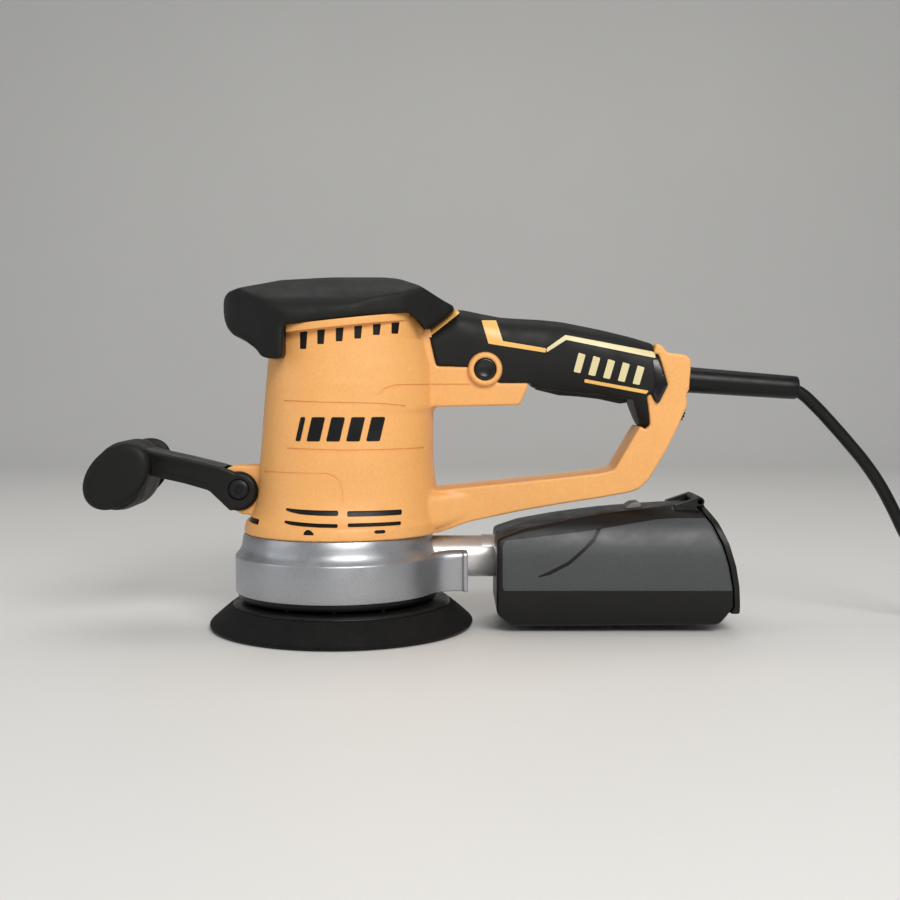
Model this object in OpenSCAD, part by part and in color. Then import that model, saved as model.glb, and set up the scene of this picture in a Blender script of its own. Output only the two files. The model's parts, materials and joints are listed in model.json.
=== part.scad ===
// Random orbit (dual action) sander and polisher with a rear D handle,
// a front tilting handle, a dust box on the extraction outlet and a mains lead.
// Millimetres. +X runs from the front handle to the lead, +Z up, -Y is the side
// with the lock button. Origin: centre of the pad, on its working face.

/* [Pad] */
// Outside diameter of the sanding pad
pad_d = 150; // [146:1:152]
// Pitch circle of the dust holes
dust_pcd = 80; // [76:1:84]
// Diameter of each dust hole
dust_hole_d = 10; // [8:0.5:11]
// Number of dust holes
dust_holes = 6; // [4:1:8]
// Offset between motor axis and pad axis
orbit = 2; // [1.5:0.5:2.5]

/* [Motor] */
// Radius of the armature stack
arm_r = 23; // [21:0.5:23]
// Outside radius of the field stack
stator_r = 37.5; // [35:0.5:38]
// Blades on each fan
blades = 11; // [7:1:13]

/* [Housing] */
// Half width of the orange bars of the D handle
bar_w = 16; // [15:0.5:17]
// Half width of the soft handle grip
grip_w = 17.8; // [17:0.2:19]
// Shell wall thickness
wall = 2.8; // [2.4:0.2:3]

/* [Dust box] */
// Half width of the dust box
box_w = 33; // [31:0.5:35]
// Outside radius of the outlet tube
tube_r = 11; // [10.5:0.25:11.5]

/* [Front handle] */
// Half length of the cross grip
cross_w = 30; // [25:1:36]

/* [Mains lead] */
// Diameter of the lead
cord_d = 7; // [6.6:0.2:7.6]

/* [Hidden] */
ax = -orbit;                 // motor axis X
eps = 0.01;
orange = [0.90, 0.64, 0.32];
black = [0.09, 0.09, 0.10];
silver = [0.66, 0.67, 0.69];
steel = [0.72, 0.72, 0.74];
copper = [0.72, 0.40, 0.20];
grey = [0.20, 0.21, 0.22];

// ------------------------------------------------------------ helpers
// side-view outline (X, Z) given a width across Y
module side(pts, w, y = 0) translate([0, y + w, 0]) rotate([90, 0, 0]) linear_extrude(2 * w) polygon(pts);
// cross-section (Y, Z) given a length along X
module xprism(pts, x0, x1) translate([x0, 0, 0]) rotate([90, 0, 90]) linear_extrude(x1 - x0) polygon(pts);
module ycyl(x, z, r, y0, y1, f = 64) translate([x, y1, z]) rotate([90, 0, 0]) cylinder(r = r, h = y1 - y0, $fn = f);
module xcyl(x0, x1, y, z, r, f = 72) translate([x0, y, z]) rotate([0, 90, 0]) cylinder(r = r, h = x1 - x0, $fn = f);
module zcyl(r, z0, z1, f = 96) translate([0, 0, z0]) cylinder(r = r, h = z1 - z0, $fn = f);
module box(x0, x1, y0, y1, z0, z1) translate([x0, y0, z0]) cube([x1 - x0, y1 - y0, z1 - z0]);
module ring(ri, ro, z0, z1, f = 96) difference() { zcyl(ro, z0, z1, f); zcyl(ri, z0 - 1, z1 + 1, f); }
module half(s) box(-160, 240, s < 0 ? -100 : 0, s < 0 ? 0 : 100, -5, 220);
module motor() translate([ax, 0, 0]) children();

// swept tube along a route; every ring is an n-gon
function unit(v) = v / norm(v);
function tan_at(p, i) = unit(p[min(i + 1, len(p) - 1)] - p[max(i - 1, 0)]);
function side_at(t) = unit(cross(t, [0, 0, 1]));
function ring_at(p, i, r, n) = let (t = tan_at(p, i), s = side_at(t), u = cross(s, t))
  [for (k = [0 : n - 1]) p[i] + r * (cos(360 * k / n) * s + sin(360 * k / n) * u)];
module tube(p, r, n = 10) {
  m = len(p);
  v = [for (i = [0 : m - 1]) each ring_at(p, i, r, n)];
  polyhedron(v, concat([[for (k = [n - 1 : -1 : 0]) k]],
    [for (i = [0 : m - 2], k = [0 : n - 1]) [i * n + k, i * n + (k + 1) % n, (i + 1) * n + (k + 1) % n, (i + 1) * n + k]],
    [[for (k = [0 : n - 1]) (m - 1) * n + k]]), convexity = 10);
}

// ------------------------------------------------------------ outlines
lower_bar = [[36, 54], [56.5, 54.5], [73, 60.5], [101, 66.5], [123.5, 70.5], [146, 74], [162.5, 77], [168, 79],
  [173.5, 84.5], [182, 98.5], [190, 115], [194.5, 126], [194, 132.5], [195.5, 134.5], [196.5, 151], [194, 154],
  [183, 155.5], [180.5, 159], [176.5, 161], [175.5, 154], [178, 155], [183, 137.5], [177.5, 126], [174, 133.5],
  [171.5, 131], [174, 115], [171, 112], [168.5, 115], [154, 90], [145.5, 88], [123.5, 85.5], [90, 82], [54.5, 78.5], [36, 78]];
upper_bar = [[36, 124], [54.5, 125], [101, 126], [106.5, 138.5], [89, 138.5], [87, 141], [72, 147.5], [54.5, 148],
  [50.5, 165], [44, 173], [36, 170]];
grip_side = [[49.5, 167], [66.5, 180], [79, 177.5], [90.5, 175], [113, 174], [124.5, 173], [147.5, 168.5], [170, 163],
  [176.5, 161], [175.5, 154], [178, 155], [183, 137.5], [177.5, 126], [174, 133.5], [171.5, 131], [174, 115], [171, 112],
  [168.5, 115], [164, 129], [146, 131.5], [123.5, 133.5], [109.5, 135.5], [106.5, 138.5], [89, 138.5], [87, 141],
  [72, 147.5], [54.5, 148], [50.5, 165]];
rear_skin = [[0, 54], [56.5, 54.5], [54.5, 78.5], [52.5, 90], [52.5, 122.5], [54.5, 125], [54.5, 148], [50.5, 165], [44, 170], [0, 166]];
lower_cavity = [[44, 58], [57, 58.5], [73, 64], [101, 70], [123.5, 74], [146, 77.5], [162, 80.5], [166, 82.5], [171, 87],
  [179, 100], [187, 116], [191, 127], [190.5, 135], [177, 135], [178.5, 124], [177, 114], [171.5, 113], [157.5, 89.5],
  [146, 85], [123.5, 82.5], [90, 79], [44, 75.5]];
upper_cavity = [[44, 128], [99, 129], [104, 141.5], [112, 139.5], [123.5, 137], [146, 135], [164, 132.5], [177, 134], [185, 137],
  [192.5, 140], [193, 150], [186, 152], [180, 152.5], [174, 158], [147, 165], [124, 169.5], [113, 171], [90, 172],
  [79, 174], [67, 176], [54, 166.5], [50, 150]];
palm_side = [[-66, 185], [-63, 190.5], [-51.5, 193], [-34.5, 195.5], [0, 198], [22, 198], [33.5, 196.5], [45, 192],
  [59, 183.5], [66.5, 180], [49.5, 167], [44, 173], [39.5, 177], [-26, 170], [-28.5, 170], [-28.5, 154], [-31, 153],
  [-40, 154], [-45, 159], [-56, 165], [-60.5, 173], [-62, 181]];
lock_x = 81.5;
lock_z = 146;
lug_x = -57;
lug_z = 78.5;
dial_x = 188;
dial_z = 122.2;
pin_x = 113.5;
pin_z = 138;
hinge_x = 202;
hinge_z = 72;
duct_z = 40.5;
// joining screws of the two halves: X, Z
joints = [[-39.5, 77], [-35.5, 144], [48, 70], [47, 133], [101, 75.5], [150, 82], [178, 107.5], [62, 158], [152, 158], [98, 151]];

// ------------------------------------------------------------ housing
module tower_outer() {
  motor() rotate_extrude($fn = 128) polygon([[0, 54], [53, 54], [53, 60.5], [44.5, 63.5], [43.8, 66], [43.8, 94], [38.5, 153], [38.5, 161.5], [0, 161.5]]);
  intersection() {
    side(rear_skin, 45);
    translate([0, 0, 50]) linear_extrude(130) polygon([[0, 38], [14, 37], [36, 29], [50, 20], [55, 12], [60, 10], [60, -10], [55, -12], [50, -20], [36, -29], [14, -37], [0, -38]]);
  }
  // head under the palm grip, with its ledge
  intersection() {
    motor() zcyl(40, 152, 180, 128);
    side([[-28.5, 153], [44, 153], [52, 160], [50.5, 165], [44, 173], [39.5, 177], [-26, 170], [-28.5, 170]], 45);
  }
  intersection() {
    motor() zcyl(44.5, 160, 180, 128);
    side([[-26, 165.5], [33, 172], [42, 173.5], [39.5, 177], [-26, 170]], 46);
  }
}
module tower_inner() {
  // motor space, upper bearing seat and the clearance over the shaft
  motor() rotate_extrude($fn = 128) polygon([[0, 53], [41, 53], [41, 94], [35.9, 151], [35.2, 158.5], [15, 158.5], [15, 150.5],
    [11, 150.5], [11, 158.5], [6, 158.5], [6, 160], [0, 160]]);
  // inner head space over the bearing wall
  intersection() {
    motor() zcyl(36.5, 161.5, 176, 96);
    side([[-25, 161.5], [46, 161.5], [46, 165], [40, 171.5], [37, 173.5], [-25, 167]], 40);
  }
  intersection() {
    side([[22, 57.5], [51.5, 57.5], [51.5, 76], [49.5, 90], [49.5, 122], [51.5, 128], [51.5, 146], [47.5, 158], [22, 158]], 45);
    translate([0, 0, 50]) linear_extrude(130) polygon([[0, 34], [13, 33.5], [34, 26], [47, 18], [52, 10], [52, -10], [47, -18], [34, -26], [13, -33.5], [0, -34]]);
  }
}
module vents() {
  for (s = [-1, 1]) {
    for (x = [[-25.5, 2.5], [8, 35.5]]) {
      box(x[0], x[1], s * 46 - 17, s * 46 + 17, 68.6, 70.8);
      box(x[0], x[1], s * 48 - 17, s * 48 + 17, 64.4, 66.4);
    }
    for (k = [0 : 5]) translate([-16.5 + 9.8 * k, s * 42, 162.2 + k]) rotate([0, -6, 0]) cube([3.6, 20, 7.5 - 0.4 * k], center = true);
    for (x = [-14, 25]) ycyl(x, 58.6, 1.4, s < 0 ? -60 : 40, s < 0 ? -40 : 60, 24);
  }
  box(-60, -46, -20, 20, 60.9, 62.1);
}
module lug() {
  side([[-64.5, 90.5], [-60.5, 92.3], [-42, 92.3], [-42, 64], [-56, 63.8], [-63, 68], [-66.5, 78], [-66.5, 86]], 9);
}
module housing_whole() difference() {
  union() {
    difference() {
      union() { tower_outer(); side(lower_bar, bar_w); side(upper_bar, 17); }
      tower_inner();
      side(lower_cavity, bar_w - wall);
      side(upper_cavity, 14.4);
      vents();
    }
    lug();
    // shelf that carries the field stack
    motor() ring(33.5, 41.5, 83.5, 86, 96);
    // locking ring on the -Y side
    ycyl(lock_x, lock_z, 10.2, -20.5, -14.4, 72);
    // screw bosses
    for (j = [0 : 6]) ycyl(joints[j][0], joints[j][1], 4.2, j == 2 || j == 3 ? -18 : -13.6, j == 2 || j == 3 ? 18 : 13.6, 32);
  }
  ycyl(lock_x, lock_z, 6.3, -21, -10, 48);
  ycyl(lug_x, lug_z, 3.05, -12, 12, 32);
  for (j = [0 : 6]) screw_space(joints[j]);
  // lead inlet, dial slot and shroud screw holes
  xcyl(180, 200, 0, 140, 7.5, 48);
  xcyl(188.9, 192.6, 0, 140, 9.3, 48);
  box(176, 197, -4.2, 4.2, dial_z - 8.3, dial_z + 8.3);
  ycyl(dial_x, dial_z, 1.5, -14.8, 14.8, 24);
  motor() for (a = [45 : 90 : 315]) rotate(a) translate([47.5, 0, 50]) cylinder(r = 2.05, h = 10.5, $fn = 32);
}
module screw_space(j) {
  ycyl(j[0], j[1], 1.75, -11, 9.3, 24);
  ycyl(j[0], j[1], 3.7, 9, 50, 32);
}
module housing_left() color(orange) intersection() { housing_whole(); half(-1); }
module housing_right() color(orange) intersection() { housing_whole(); half(1); }

module palm_grip() color(black) difference() {
  intersection() {
    side(palm_side, 48);
    xcylinder_dome(72, 126);
    translate([0, 0, 140]) linear_extrude(70) polygon(concat([for (a = [90 : 5 : 270]) [-21 + 45 * cos(a), 45 * sin(a)]],
      [[10, -43.5], [36, -36], [56, -24], [68, -17], [68, 17], [56, 24], [36, 36], [10, 43.5]]));
  }
  // hollow core
  intersection() {
    side([[-55, 178], [-52, 187], [-20, 191], [20, 192], [34, 190], [46, 184], [38, 180.5], [-26, 173.5], [-34, 173], [-45, 171]], 36);
    xcylinder_dome(66, 126);
    motor() zcyl(55, 150, 200, 96);
  }
  // front skirt fits round the tower head, and the core opens onto the head
  motor() zcyl(38.55, 140, 161.5, 128);
  motor() zcyl(21, 160, 184, 96);
}
module xcylinder_dome(r, z) translate([-80, 0, z]) rotate([0, 90, 0]) cylinder(r = r, h = 160, $fn = 160);

module handle_grip(s) color(black) difference() {
  intersection() { side(grip_side, grip_w); half(s); }
  side(upper_cavity, 14.4);
  side([[108.6, 130], [163.8, 122], [163.8, 146], [108.6, 146]], 8.5);
  if (s < 0) ycyl(lock_x, lock_z, 10.25, -30, 0, 72);
  ycyl(pin_x, pin_z, 1.55, -15.5, 15.5, 24);
  for (j = [7 : 9]) screw_space(joints[j]);
}
module grip_bosses(s) difference() {
  for (j = [7 : 9]) ycyl(joints[j][0], joints[j][1], 4.2, s < 0 ? -14.4 : 0, s < 0 ? 0 : 14.4, 32);
  for (j = [7 : 9]) screw_space(joints[j]);
}
module handle_grip_left() { handle_grip(-1); color(black) grip_bosses(-1); }
module handle_grip_right() { handle_grip(1); color(black) grip_bosses(1); }
module handle_trim() color([0.93, 0.78, 0.45]) for (s = [-1, 1]) translate([0, s * (grip_w + 0.35), 0]) {
  side([[79, 173], [87.5, 173], [91.5, 162.5], [114, 159], [125, 166.2], [175, 154.6], [175, 151.8], [125.8, 163.3], [114.8, 156.2], [89.5, 160], [83.5, 161.5]], 0.35);
  side([[137, 140.8], [172.5, 134.8], [172.5, 132], [137, 138.1]], 0.35);
  side([[51.5, 166.8], [65.5, 177.2], [67.3, 174.8], [53, 164.2]], 0.35);
}

// ------------------------------------------------------------ motor
module upper_bearing() color(steel) motor() ring(4.03, 11, 151.5, 158.5, 72);
module lower_bearing() color(steel) motor() ring(5.03, 15, 51, 60, 72);
module bearing_plate() color(silver) motor() difference() {
  union() { zcyl(40.8, 54, 57, 96); zcyl(19, 50, 61, 72); for (a = [0 : 60 : 300]) rotate(a) box(18, 40, -1.5, 1.5, 57, 59.5); }
  zcyl(15, 50, 60, 72);
  zcyl(8, 49, 62, 48);
  for (a = [30 : 60 : 330]) rotate(a) translate([30, 0, 50]) cylinder(r = 5, h = 10, $fn = 32);
}
module armature_shaft() color(steel) motor() rotate_extrude($fn = 64) polygon([[0, 31], [5, 31], [5, 61], [6, 61], [6, 135], [5, 135], [5, 150.5], [4, 150.5], [4, 159], [0, 159]]);
module armature_core() color(steel) motor() difference() {
  zcyl(arm_r, 86, 126, 96);
  zcyl(6, 85, 127, 48);
  for (a = [0 : 30 : 330]) rotate(a) box(arm_r - 4, arm_r + 1, -1, 1, 85, 127);
}
module armature_windings() color(copper) motor() for (z = [78, 126]) rotate_extrude($fn = 72)
  polygon([[6.2, z], [16, z], [20, z + 2.5], [20, z + 5.5], [16, z + 8], [6.2, z + 8]]);
module commutator() color(copper) motor() difference() {
  zcyl(12, 136, 148, 72);
  zcyl(5, 135, 149, 48);
  for (a = [0 : 15 : 345]) rotate(a) box(11, 13, -0.25, 0.25, 135, 146);
}
module stator_core() color(steel) motor() difference() {
  zcyl(stator_r, 86, 126, 128);
  zcyl(arm_r + 0.8, 85, 127, 96);
  for (s = [-1, 1]) for (t = [-1, 1]) rotate(s * 62 + (t > 0 ? 0 : 180)) box(22, 32.5, -4, 4, 85, 127);
}
module field_coils() color(copper) motor() for (t = [0, 180]) rotate(t) {
  for (z = [78.5, 126]) rotate([0, 0, -62]) rotate_extrude(angle = 124, $fn = 96) polygon([[25, z], [32, z], [32, z + 7.5], [25, z + 7.5]]);
  for (s = [-1, 1]) rotate(s * 62) box(25, 32, -3.6, 3.6, 78.5, 133.5);
}
module brush_holders() color(grey) motor() for (s = [-1, 1]) difference() {
  union() { box(-6, 6, s < 0 ? -35.5 : 15, s < 0 ? -15 : 35.5, 136, 148); box(-13, 13, s < 0 ? -22 : 20, s < 0 ? -20 : 22, 134, 150); }
  box(-3.3, 3.3, s < 0 ? -34 : 10, s < 0 ? -10 : 34, 137.3, 146.7);
}
module carbon_brushes() color(grey) motor() for (s = [-1, 1]) difference() {
  box(-3.2, 3.2, s < 0 ? -27 : 10, s < 0 ? -10 : 27, 137.5, 146.5);
  zcyl(12.3, 130, 150, 72);
}
module brush_springs() color(steel) motor() for (s = [-1, 1]) for (k = [0 : 6]) translate([0, s * (27.5 + 0.95 * k), 142]) rotate([90, 0, 0])
  rotate_extrude($fn = 32) translate([2.2, 0]) circle(r = 0.5, $fn = 16);
module air_baffle() color(black) motor() difference() {
  ring(29, 40.95, 71.5, 73.5, 96);
  box(-44, -32, -14.2, 14.2, 70, 75);
}
module fan(z0, z1, r, hub, t) {
  difference() {
    union() {
      zcyl(r, z0, z0 + t, 96);
      zcyl(hub, z0, z1, 64);
      for (k = [0 : blades - 1]) rotate(360 / blades * k + 9) translate([hub - 2.5, -0.9, z0 + t - 0.6]) rotate([0, 0, 6]) cube([(r - hub) * 0.94, 1.8, z1 - z0 - t + 0.1]);
    }
    zcyl(hub > 11 ? 5 : 6, z0 - 1, z1 + 1, 48);
  }
}
module cooling_fan() color(black) motor() fan(62, 70.5, 33, 10, 1.6);
module extraction_fan() color(grey) motor() fan(32.5, 46, 45, 13, 2);

// ------------------------------------------------------------ eccentric and pad
module eccentric_counterweight() color(steel) difference() {
  union() {
    zcyl(18, 19, 31, 96);
    motor() zcyl(20, 28.5, 32, 96);
    motor() rotate([0, 0, 100]) rotate_extrude(angle = 160, $fn = 96) polygon([[17, 23], [42, 23], [42, 31], [17, 31]]);
  }
  zcyl(14, 18, 28, 96);
  zcyl(7, 18, 30, 64);
  motor() zcyl(5, 30.9, 33, 48);
}
module pad_bearing() color(steel) ring(6.03, 14, 20, 28, 96);
module pad_spindle() color(steel) difference() {
  union() { zcyl(6, 16.5, 29, 64); zcyl(10, 16.5, 18.6, 64); }
  zcyl(4, 16, 27.5, 48);
}
module pad_screw() color(steel) difference() {
  union() { zcyl(3.95, 13, 27, 48); zcyl(6.6, 6.5, 13, 48); }
  translate([0, 0, 6]) cylinder(r = 3.3, h = 4.5, $fn = 6);
}
module dust_pattern(z0, z1) for (k = [0 : dust_holes - 1]) rotate(360 / dust_holes * k + 30) translate([dust_pcd / 2, 0, z0]) cylinder(r = dust_hole_d / 2, h = z1 - z0, $fn = 48);
module backing_plate() color(black) difference() {
  union() {
    rotate_extrude($fn = 128) polygon([[0, 13], [62, 13], [61, 14.5], [60, 15], [20, 15], [18, 16.5], [0, 16.5]]);
    for (a = [0 : 30 : 330]) rotate(a) box(17, 59, -0.9, 0.9, 14.8, 16.5);
  }
  zcyl(4.05, 12, 18, 48);
  dust_pattern(12, 18);
}
module foam_layer() color(grey) difference() {
  rotate_extrude($fn = 160) polygon([[11, 1.5], [pad_d / 2 - 0.5, 1.5], [pad_d / 2, 2.2], [pad_d / 2, 3.6], [63, 13], [11, 13]]);
  dust_pattern(1, 14);
}
module hook_face() color(black) difference() {
  zcyl(pad_d / 2 - 0.5, 0, 1.5, 160);
  zcyl(11, -1, 2, 64);
  dust_pattern(-1, 2);
}
module pad_brake_ring() color(black) motor() rotate_extrude($fn = 128) polygon([[50, 17], [56.5, 17], [56.5, 18.3], [53.6, 18.3], [55.8, 21.5], [55.8, 24], [52, 24], [50, 20]]);
module dust_shroud() color(silver) difference() {
  union() {
    motor() rotate_extrude($fn = 128) polygon([[53.6, 18.3], [56.2, 18.3], [58.4, 21.2], [58.4, 41], [57.2, 43], [55, 45.4], [53.8, 52.8], [52.8, 54], [30, 54], [30, 51], [50, 51], [54.4, 42.3], [55.8, 37], [55.8, 21.5]]);
    difference() {
      union() {
        side([[46, 21.5], [70, 21.5], [70, 44], [62, 44.6], [56.5, 46.4], [52, 49], [46, 49]], 16.5);
        side([[69, 21.5], [72, 21.5], [72, 42.8], [70.8, 44], [69, 44]], 19);
      }
      motor() zcyl(55.8, 20, 41.6, 128);
      motor() zcyl(50.6, 41, 55, 128);
    }
  }
  box(40, 69, -13.5, 13.5, 25, 41);
  // seat of the outlet tube's collar
  xcyl(45, 75, 0, duct_z - 1.4, tube_r + 0.8, 72);
  motor() for (a = [45 : 90 : 315]) rotate(a) translate([47.5, 0, 50]) cylinder(r = 2.05, h = 5, $fn = 32);
}
module shroud_screws() color(steel) motor() for (a = [45 : 90 : 315]) rotate(a) translate([47.5, 0, 0]) difference() {
  union() { zcyl(2, 50.9, 60, 32); zcyl(2.4, 48.2, 51, 32); }
  translate([0, 0, 48]) cylinder(r = 1.4, h = 1.8, $fn = 6);
}
module outlet_tube() color(silver) difference() {
  union() {
    xcyl(80, 110, 0, duct_z, tube_r, 72);
    // collar between the shroud and the dust box
    xcyl(48.6, 87.6, 0, duct_z - 1.4, tube_r + 0.8, 72);
  }
  xcyl(48, 111, 0, duct_z, tube_r - 2, 72);
}

// ------------------------------------------------------------ dust box
box_side = [[88, 11], [88, 52.5], [102, 57.5], [125, 62], [148, 65.5], [171, 68], [194, 70], [200, 69.5], [207, 60],
  [212, 49], [215.5, 37], [217.5, 26], [218.3, 15], [211, 4.5], [96, 4]];
box_side_in = [[90.5, 13], [90.5, 50.2], [102, 54.5], [125, 59], [148, 62.5], [171, 65], [194, 67], [198, 67], [203, 66],
  [230, 50], [230, 15], [218, 13], [209, 7], [97, 6.5]];
function box_section(w, t) = [[-w + 9 + t, t], [w - 9 - t, t], [w - 3 - t, 5 + t * 0.5], [w - t, 15], [w - t, 48], [w - 3.5 - t, 57], [w - 10 - t, 64 - t * 0.5],
  [12, 69.5 - t], [0, 72 - t], [-12, 69.5 - t], [-w + 10 + t, 64 - t * 0.5], [-w + 3.5 + t, 57], [-w + t, 48], [-w + t, 15], [-w + 3 + t, 5 + t * 0.5]];
module box_shell() difference() {
  intersection() { side(box_side, box_w + 5); xprism(box_section(box_w, 0), 80, 240); }
  intersection() { side(box_side_in, box_w + 5); xprism(box_section(box_w, 2.4), 80, 240); }
  xcyl(80, 95, 0, duct_z, 13.5, 72);
  // room for the lid's knuckle
  ycyl(hinge_x, hinge_z, 3.5, -12.3, 12.3, 48);
}
module seam_disc(r) ycyl(101, 84.5, r, -50, 50, 128);
module dust_box_front() color(grey) {
  intersection() { box_shell(); seam_disc(53); }
  difference() {
    xcyl(88, 112, 0, duct_z, 13.5, 72);
    xcyl(87, 113, 0, duct_z, tube_r + 0.3, 72);
  }
}
module dust_box_container() color(grey) {
  difference() {
    union() {
      box_shell();
      for (s = [-1, 1]) difference() {
        union() {
          ycyl(hinge_x, hinge_z, 3, s < 0 ? -17 : 12.4, s < 0 ? -12.4 : 17, 40);
          side([[190, 66], [199.5, 66], [200.2, 69.8], [hinge_x, hinge_z + 3], [hinge_x - 3, hinge_z + 2.6], [190, 69.5]], 2.3, s * 14.7);
        }
        ycyl(hinge_x, hinge_z, 1.5, -20, 20, 32);
      }
    }
    seam_disc(53);
    xcyl(80, 113, 0, duct_z, 13.5, 72);
  }
}
module dust_filter() color([0.8, 0.78, 0.7]) { filter_frame(); filter_pleats(); }
module filter_pleats() intersection() {
  union() for (k = [0 : 13]) side([[128 + 4.6 * k, 56 + 0.2 * k], [130.3 + 4.6 * k, 50 + 0.2 * k], [132.7 + 4.6 * k, 56 + 0.2 * k], [132.7 + 4.6 * k, 58 + 0.2 * k], [128 + 4.6 * k, 58 + 0.2 * k]], 20);
  box(120, 197, -22, 22, 40, 70);
}
module filter_frame() side([[126, 56.6], [194, 59.4], [194, 61.6], [126, 58.6]], 20.5);
module lid_hinge_pin() color(steel) ycyl(hinge_x, hinge_z, 1.5, -17, 17, 32);
module dust_lid() color(grey) difference() {
  union() {
    intersection() {
      side([[201, 70], [207.6, 60.4], [212.6, 49.3], [216.1, 37.2], [218.1, 26.1], [219, 15], [216.8, 11.2], [221.8, 11.2], [221.8, 15],
        [221, 26.5], [219, 38], [215.4, 50.3], [210.3, 61.5], [203.5, 71.5]], 40);
      xprism(box_section(box_w, 0), 190, 240);
    }
    ycyl(hinge_x, hinge_z, 3, -12, 12, 40);
    side([[hinge_x, hinge_z + 3], [hinge_x - 1, hinge_z - 2.5], [203.2, 67], [206, 68]], 12);
  }
  ycyl(hinge_x, hinge_z, 1.55, -20, 20, 32);
  for (s = [-1, 1]) ycyl(hinge_x, hinge_z, 3.6, s < 0 ? -17.4 : 12.1, s < 0 ? -12.1 : 17.4, 40);
}

// ------------------------------------------------------------ controls
module trigger() color(black) difference() {
  union() {
    side([[110.5, 134.5], [123.5, 131.8], [146, 129.6], [162, 127.6], [162, 134], [150, 137.5], [118, 140.5], [110.5, 141]], 8);
    box(128, 134, -3, 3, 134, 141.5);
  }
  ycyl(pin_x, pin_z, 1.55, -12, 12, 24);
}
module trigger_pin() color(steel) ycyl(pin_x, pin_z, 1.5, -15.4, 15.4, 24);
module switch_body() color(grey) { box(119, 147, -8, 8, 147, 162); box(121, 126, -6, 6, 162, 164.5); box(140, 145, -6, 6, 162, 164.5); }
module lock_button() color(black) difference() {
  union() { ycyl(lock_x, lock_z, 5.9, -19.6, -12, 48); ycyl(lock_x, lock_z, 7.4, -13.9, -12, 48); }
  ycyl(lock_x, lock_z - 4, 30, -51, -19.25, 96);
}
module speed_dial() color(black) difference() {
  union() {
    ycyl(dial_x, dial_z, 7.4, -3.5, 3.5, 64);
    for (k = [0 : 23]) translate([dial_x, 0, dial_z]) rotate([0, 15 * k, 0]) translate([7.3, -3.5, -0.4]) cube([0.5, 7, 0.8]);
  }
  ycyl(dial_x, dial_z, 1.55, -5, 5, 24);
}
module speed_module() color([0.15, 0.35, 0.2]) {
  box(152, 174, -10, 10, 140.5, 142.1);
  box(155, 163, -6, 2, 142.1, 149);
  box(165, 172, -4, 6, 142.1, 147);
}
module dial_pin() color(steel) ycyl(dial_x, dial_z, 1.5, -14.8, 14.8, 24);
module capacitor() color([0.85, 0.83, 0.3]) box(64, 76, -8, 8, 162.2, 171);
module lead_wires() color([0.5, 0.25, 0.15]) {
  tube([[185.2, 3.1, 141.4], [180, 4, 145], [172, 6, 150], [160, 6, 151.5], [150, 5, 152], [147, 5, 152]], 1.1, 8);
  tube([[185.2, -3.1, 141.4], [180, -4, 145], [172, -6, 150], [160, -6, 151.5], [150, -5, 152], [147, -5, 152]], 1.1, 8);
  tube([[119, 5, 156], [112, 6, 157], [104, 7, 160], [92, 7, 158], [78, 6, 154], [62, 6, 150], [48, 6, 145], [40, 8, 140], [31, 12, 136]], 1.1, 8);
  tube([[119, -5, 156], [112, -6, 157], [104, -7, 160], [92, -7, 158], [74, -6, 154], [58, -6, 150], [48, -6, 145], [40, -8, 140], [31, -12, 136]], 1.1, 8);
}
module cord_clamp() color(black) difference() {
  box(178, 184, -11, 11, 137.3, 139.8);
  xcyl(170, 190, 0, 141, cord_d / 2 + 0.1, 32);
}
module housing_screws() color(steel) for (j = joints) difference() {
  union() { ycyl(j[0], j[1], 1.7, -10.5, 9.1, 24); ycyl(j[0], j[1], 3.5, 9, 11.8, 32); }
  translate([j[0], 12.5, j[1]]) rotate([90, 0, 0]) cylinder(r = 1.5, h = 2.2, $fn = 6);
}

// ------------------------------------------------------------ front handle
module front_handle_arm() color(black) difference() {
  union() {
    side([[-110, 101], [-107, 101.5], [-89, 96], [-66, 90], [-57, 84], [-57, 73], [-62, 69.5], [-74, 77.5], [-89, 82.3], [-108, 86.5]], 13);
    ycyl(lug_x, lug_z, 11, -13, 13, 64);
  }
  // slot that takes the lug
  ycyl(lug_x, lug_z, 17.5, -9.3, 9.3, 72);
  ycyl(lug_x, lug_z, 3.05, -14, 14, 32);
  ycyl(lug_x, lug_z, 6.2, -14, -11.2, 32);
  translate([lug_x, 14, lug_z]) rotate([90, 30, 0]) cylinder(r = 5.85, h = 3.2, $fn = 6);
  grip_bar(0, 14);
}
module grip_bar(g, w) hull() for (s = [-1, 1]) ycyl(-121.8 + s * 1.8, 86.4 + s * 4.8, 14.6 + g, -w, w, 32);
module front_handle_grip() color(black) grip_bar(0, cross_w);
module handle_bolt() color(steel) difference() {
  union() { ycyl(lug_x, lug_z, 3, -11.3, 12.9, 32); ycyl(lug_x, lug_z, 5.6, -12.9, -11.2, 32); }
  translate([lug_x, -12, lug_z]) rotate([90, 0, 0]) cylinder(r = 2.3, h = 2, $fn = 6);
}
module handle_nut() color(steel) difference() {
  translate([lug_x, 13.2, lug_z]) rotate([90, 30, 0]) cylinder(r = 5.7, h = 2.3, $fn = 6);
  ycyl(lug_x, lug_z, 3, 10, 14, 32);
}

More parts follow.
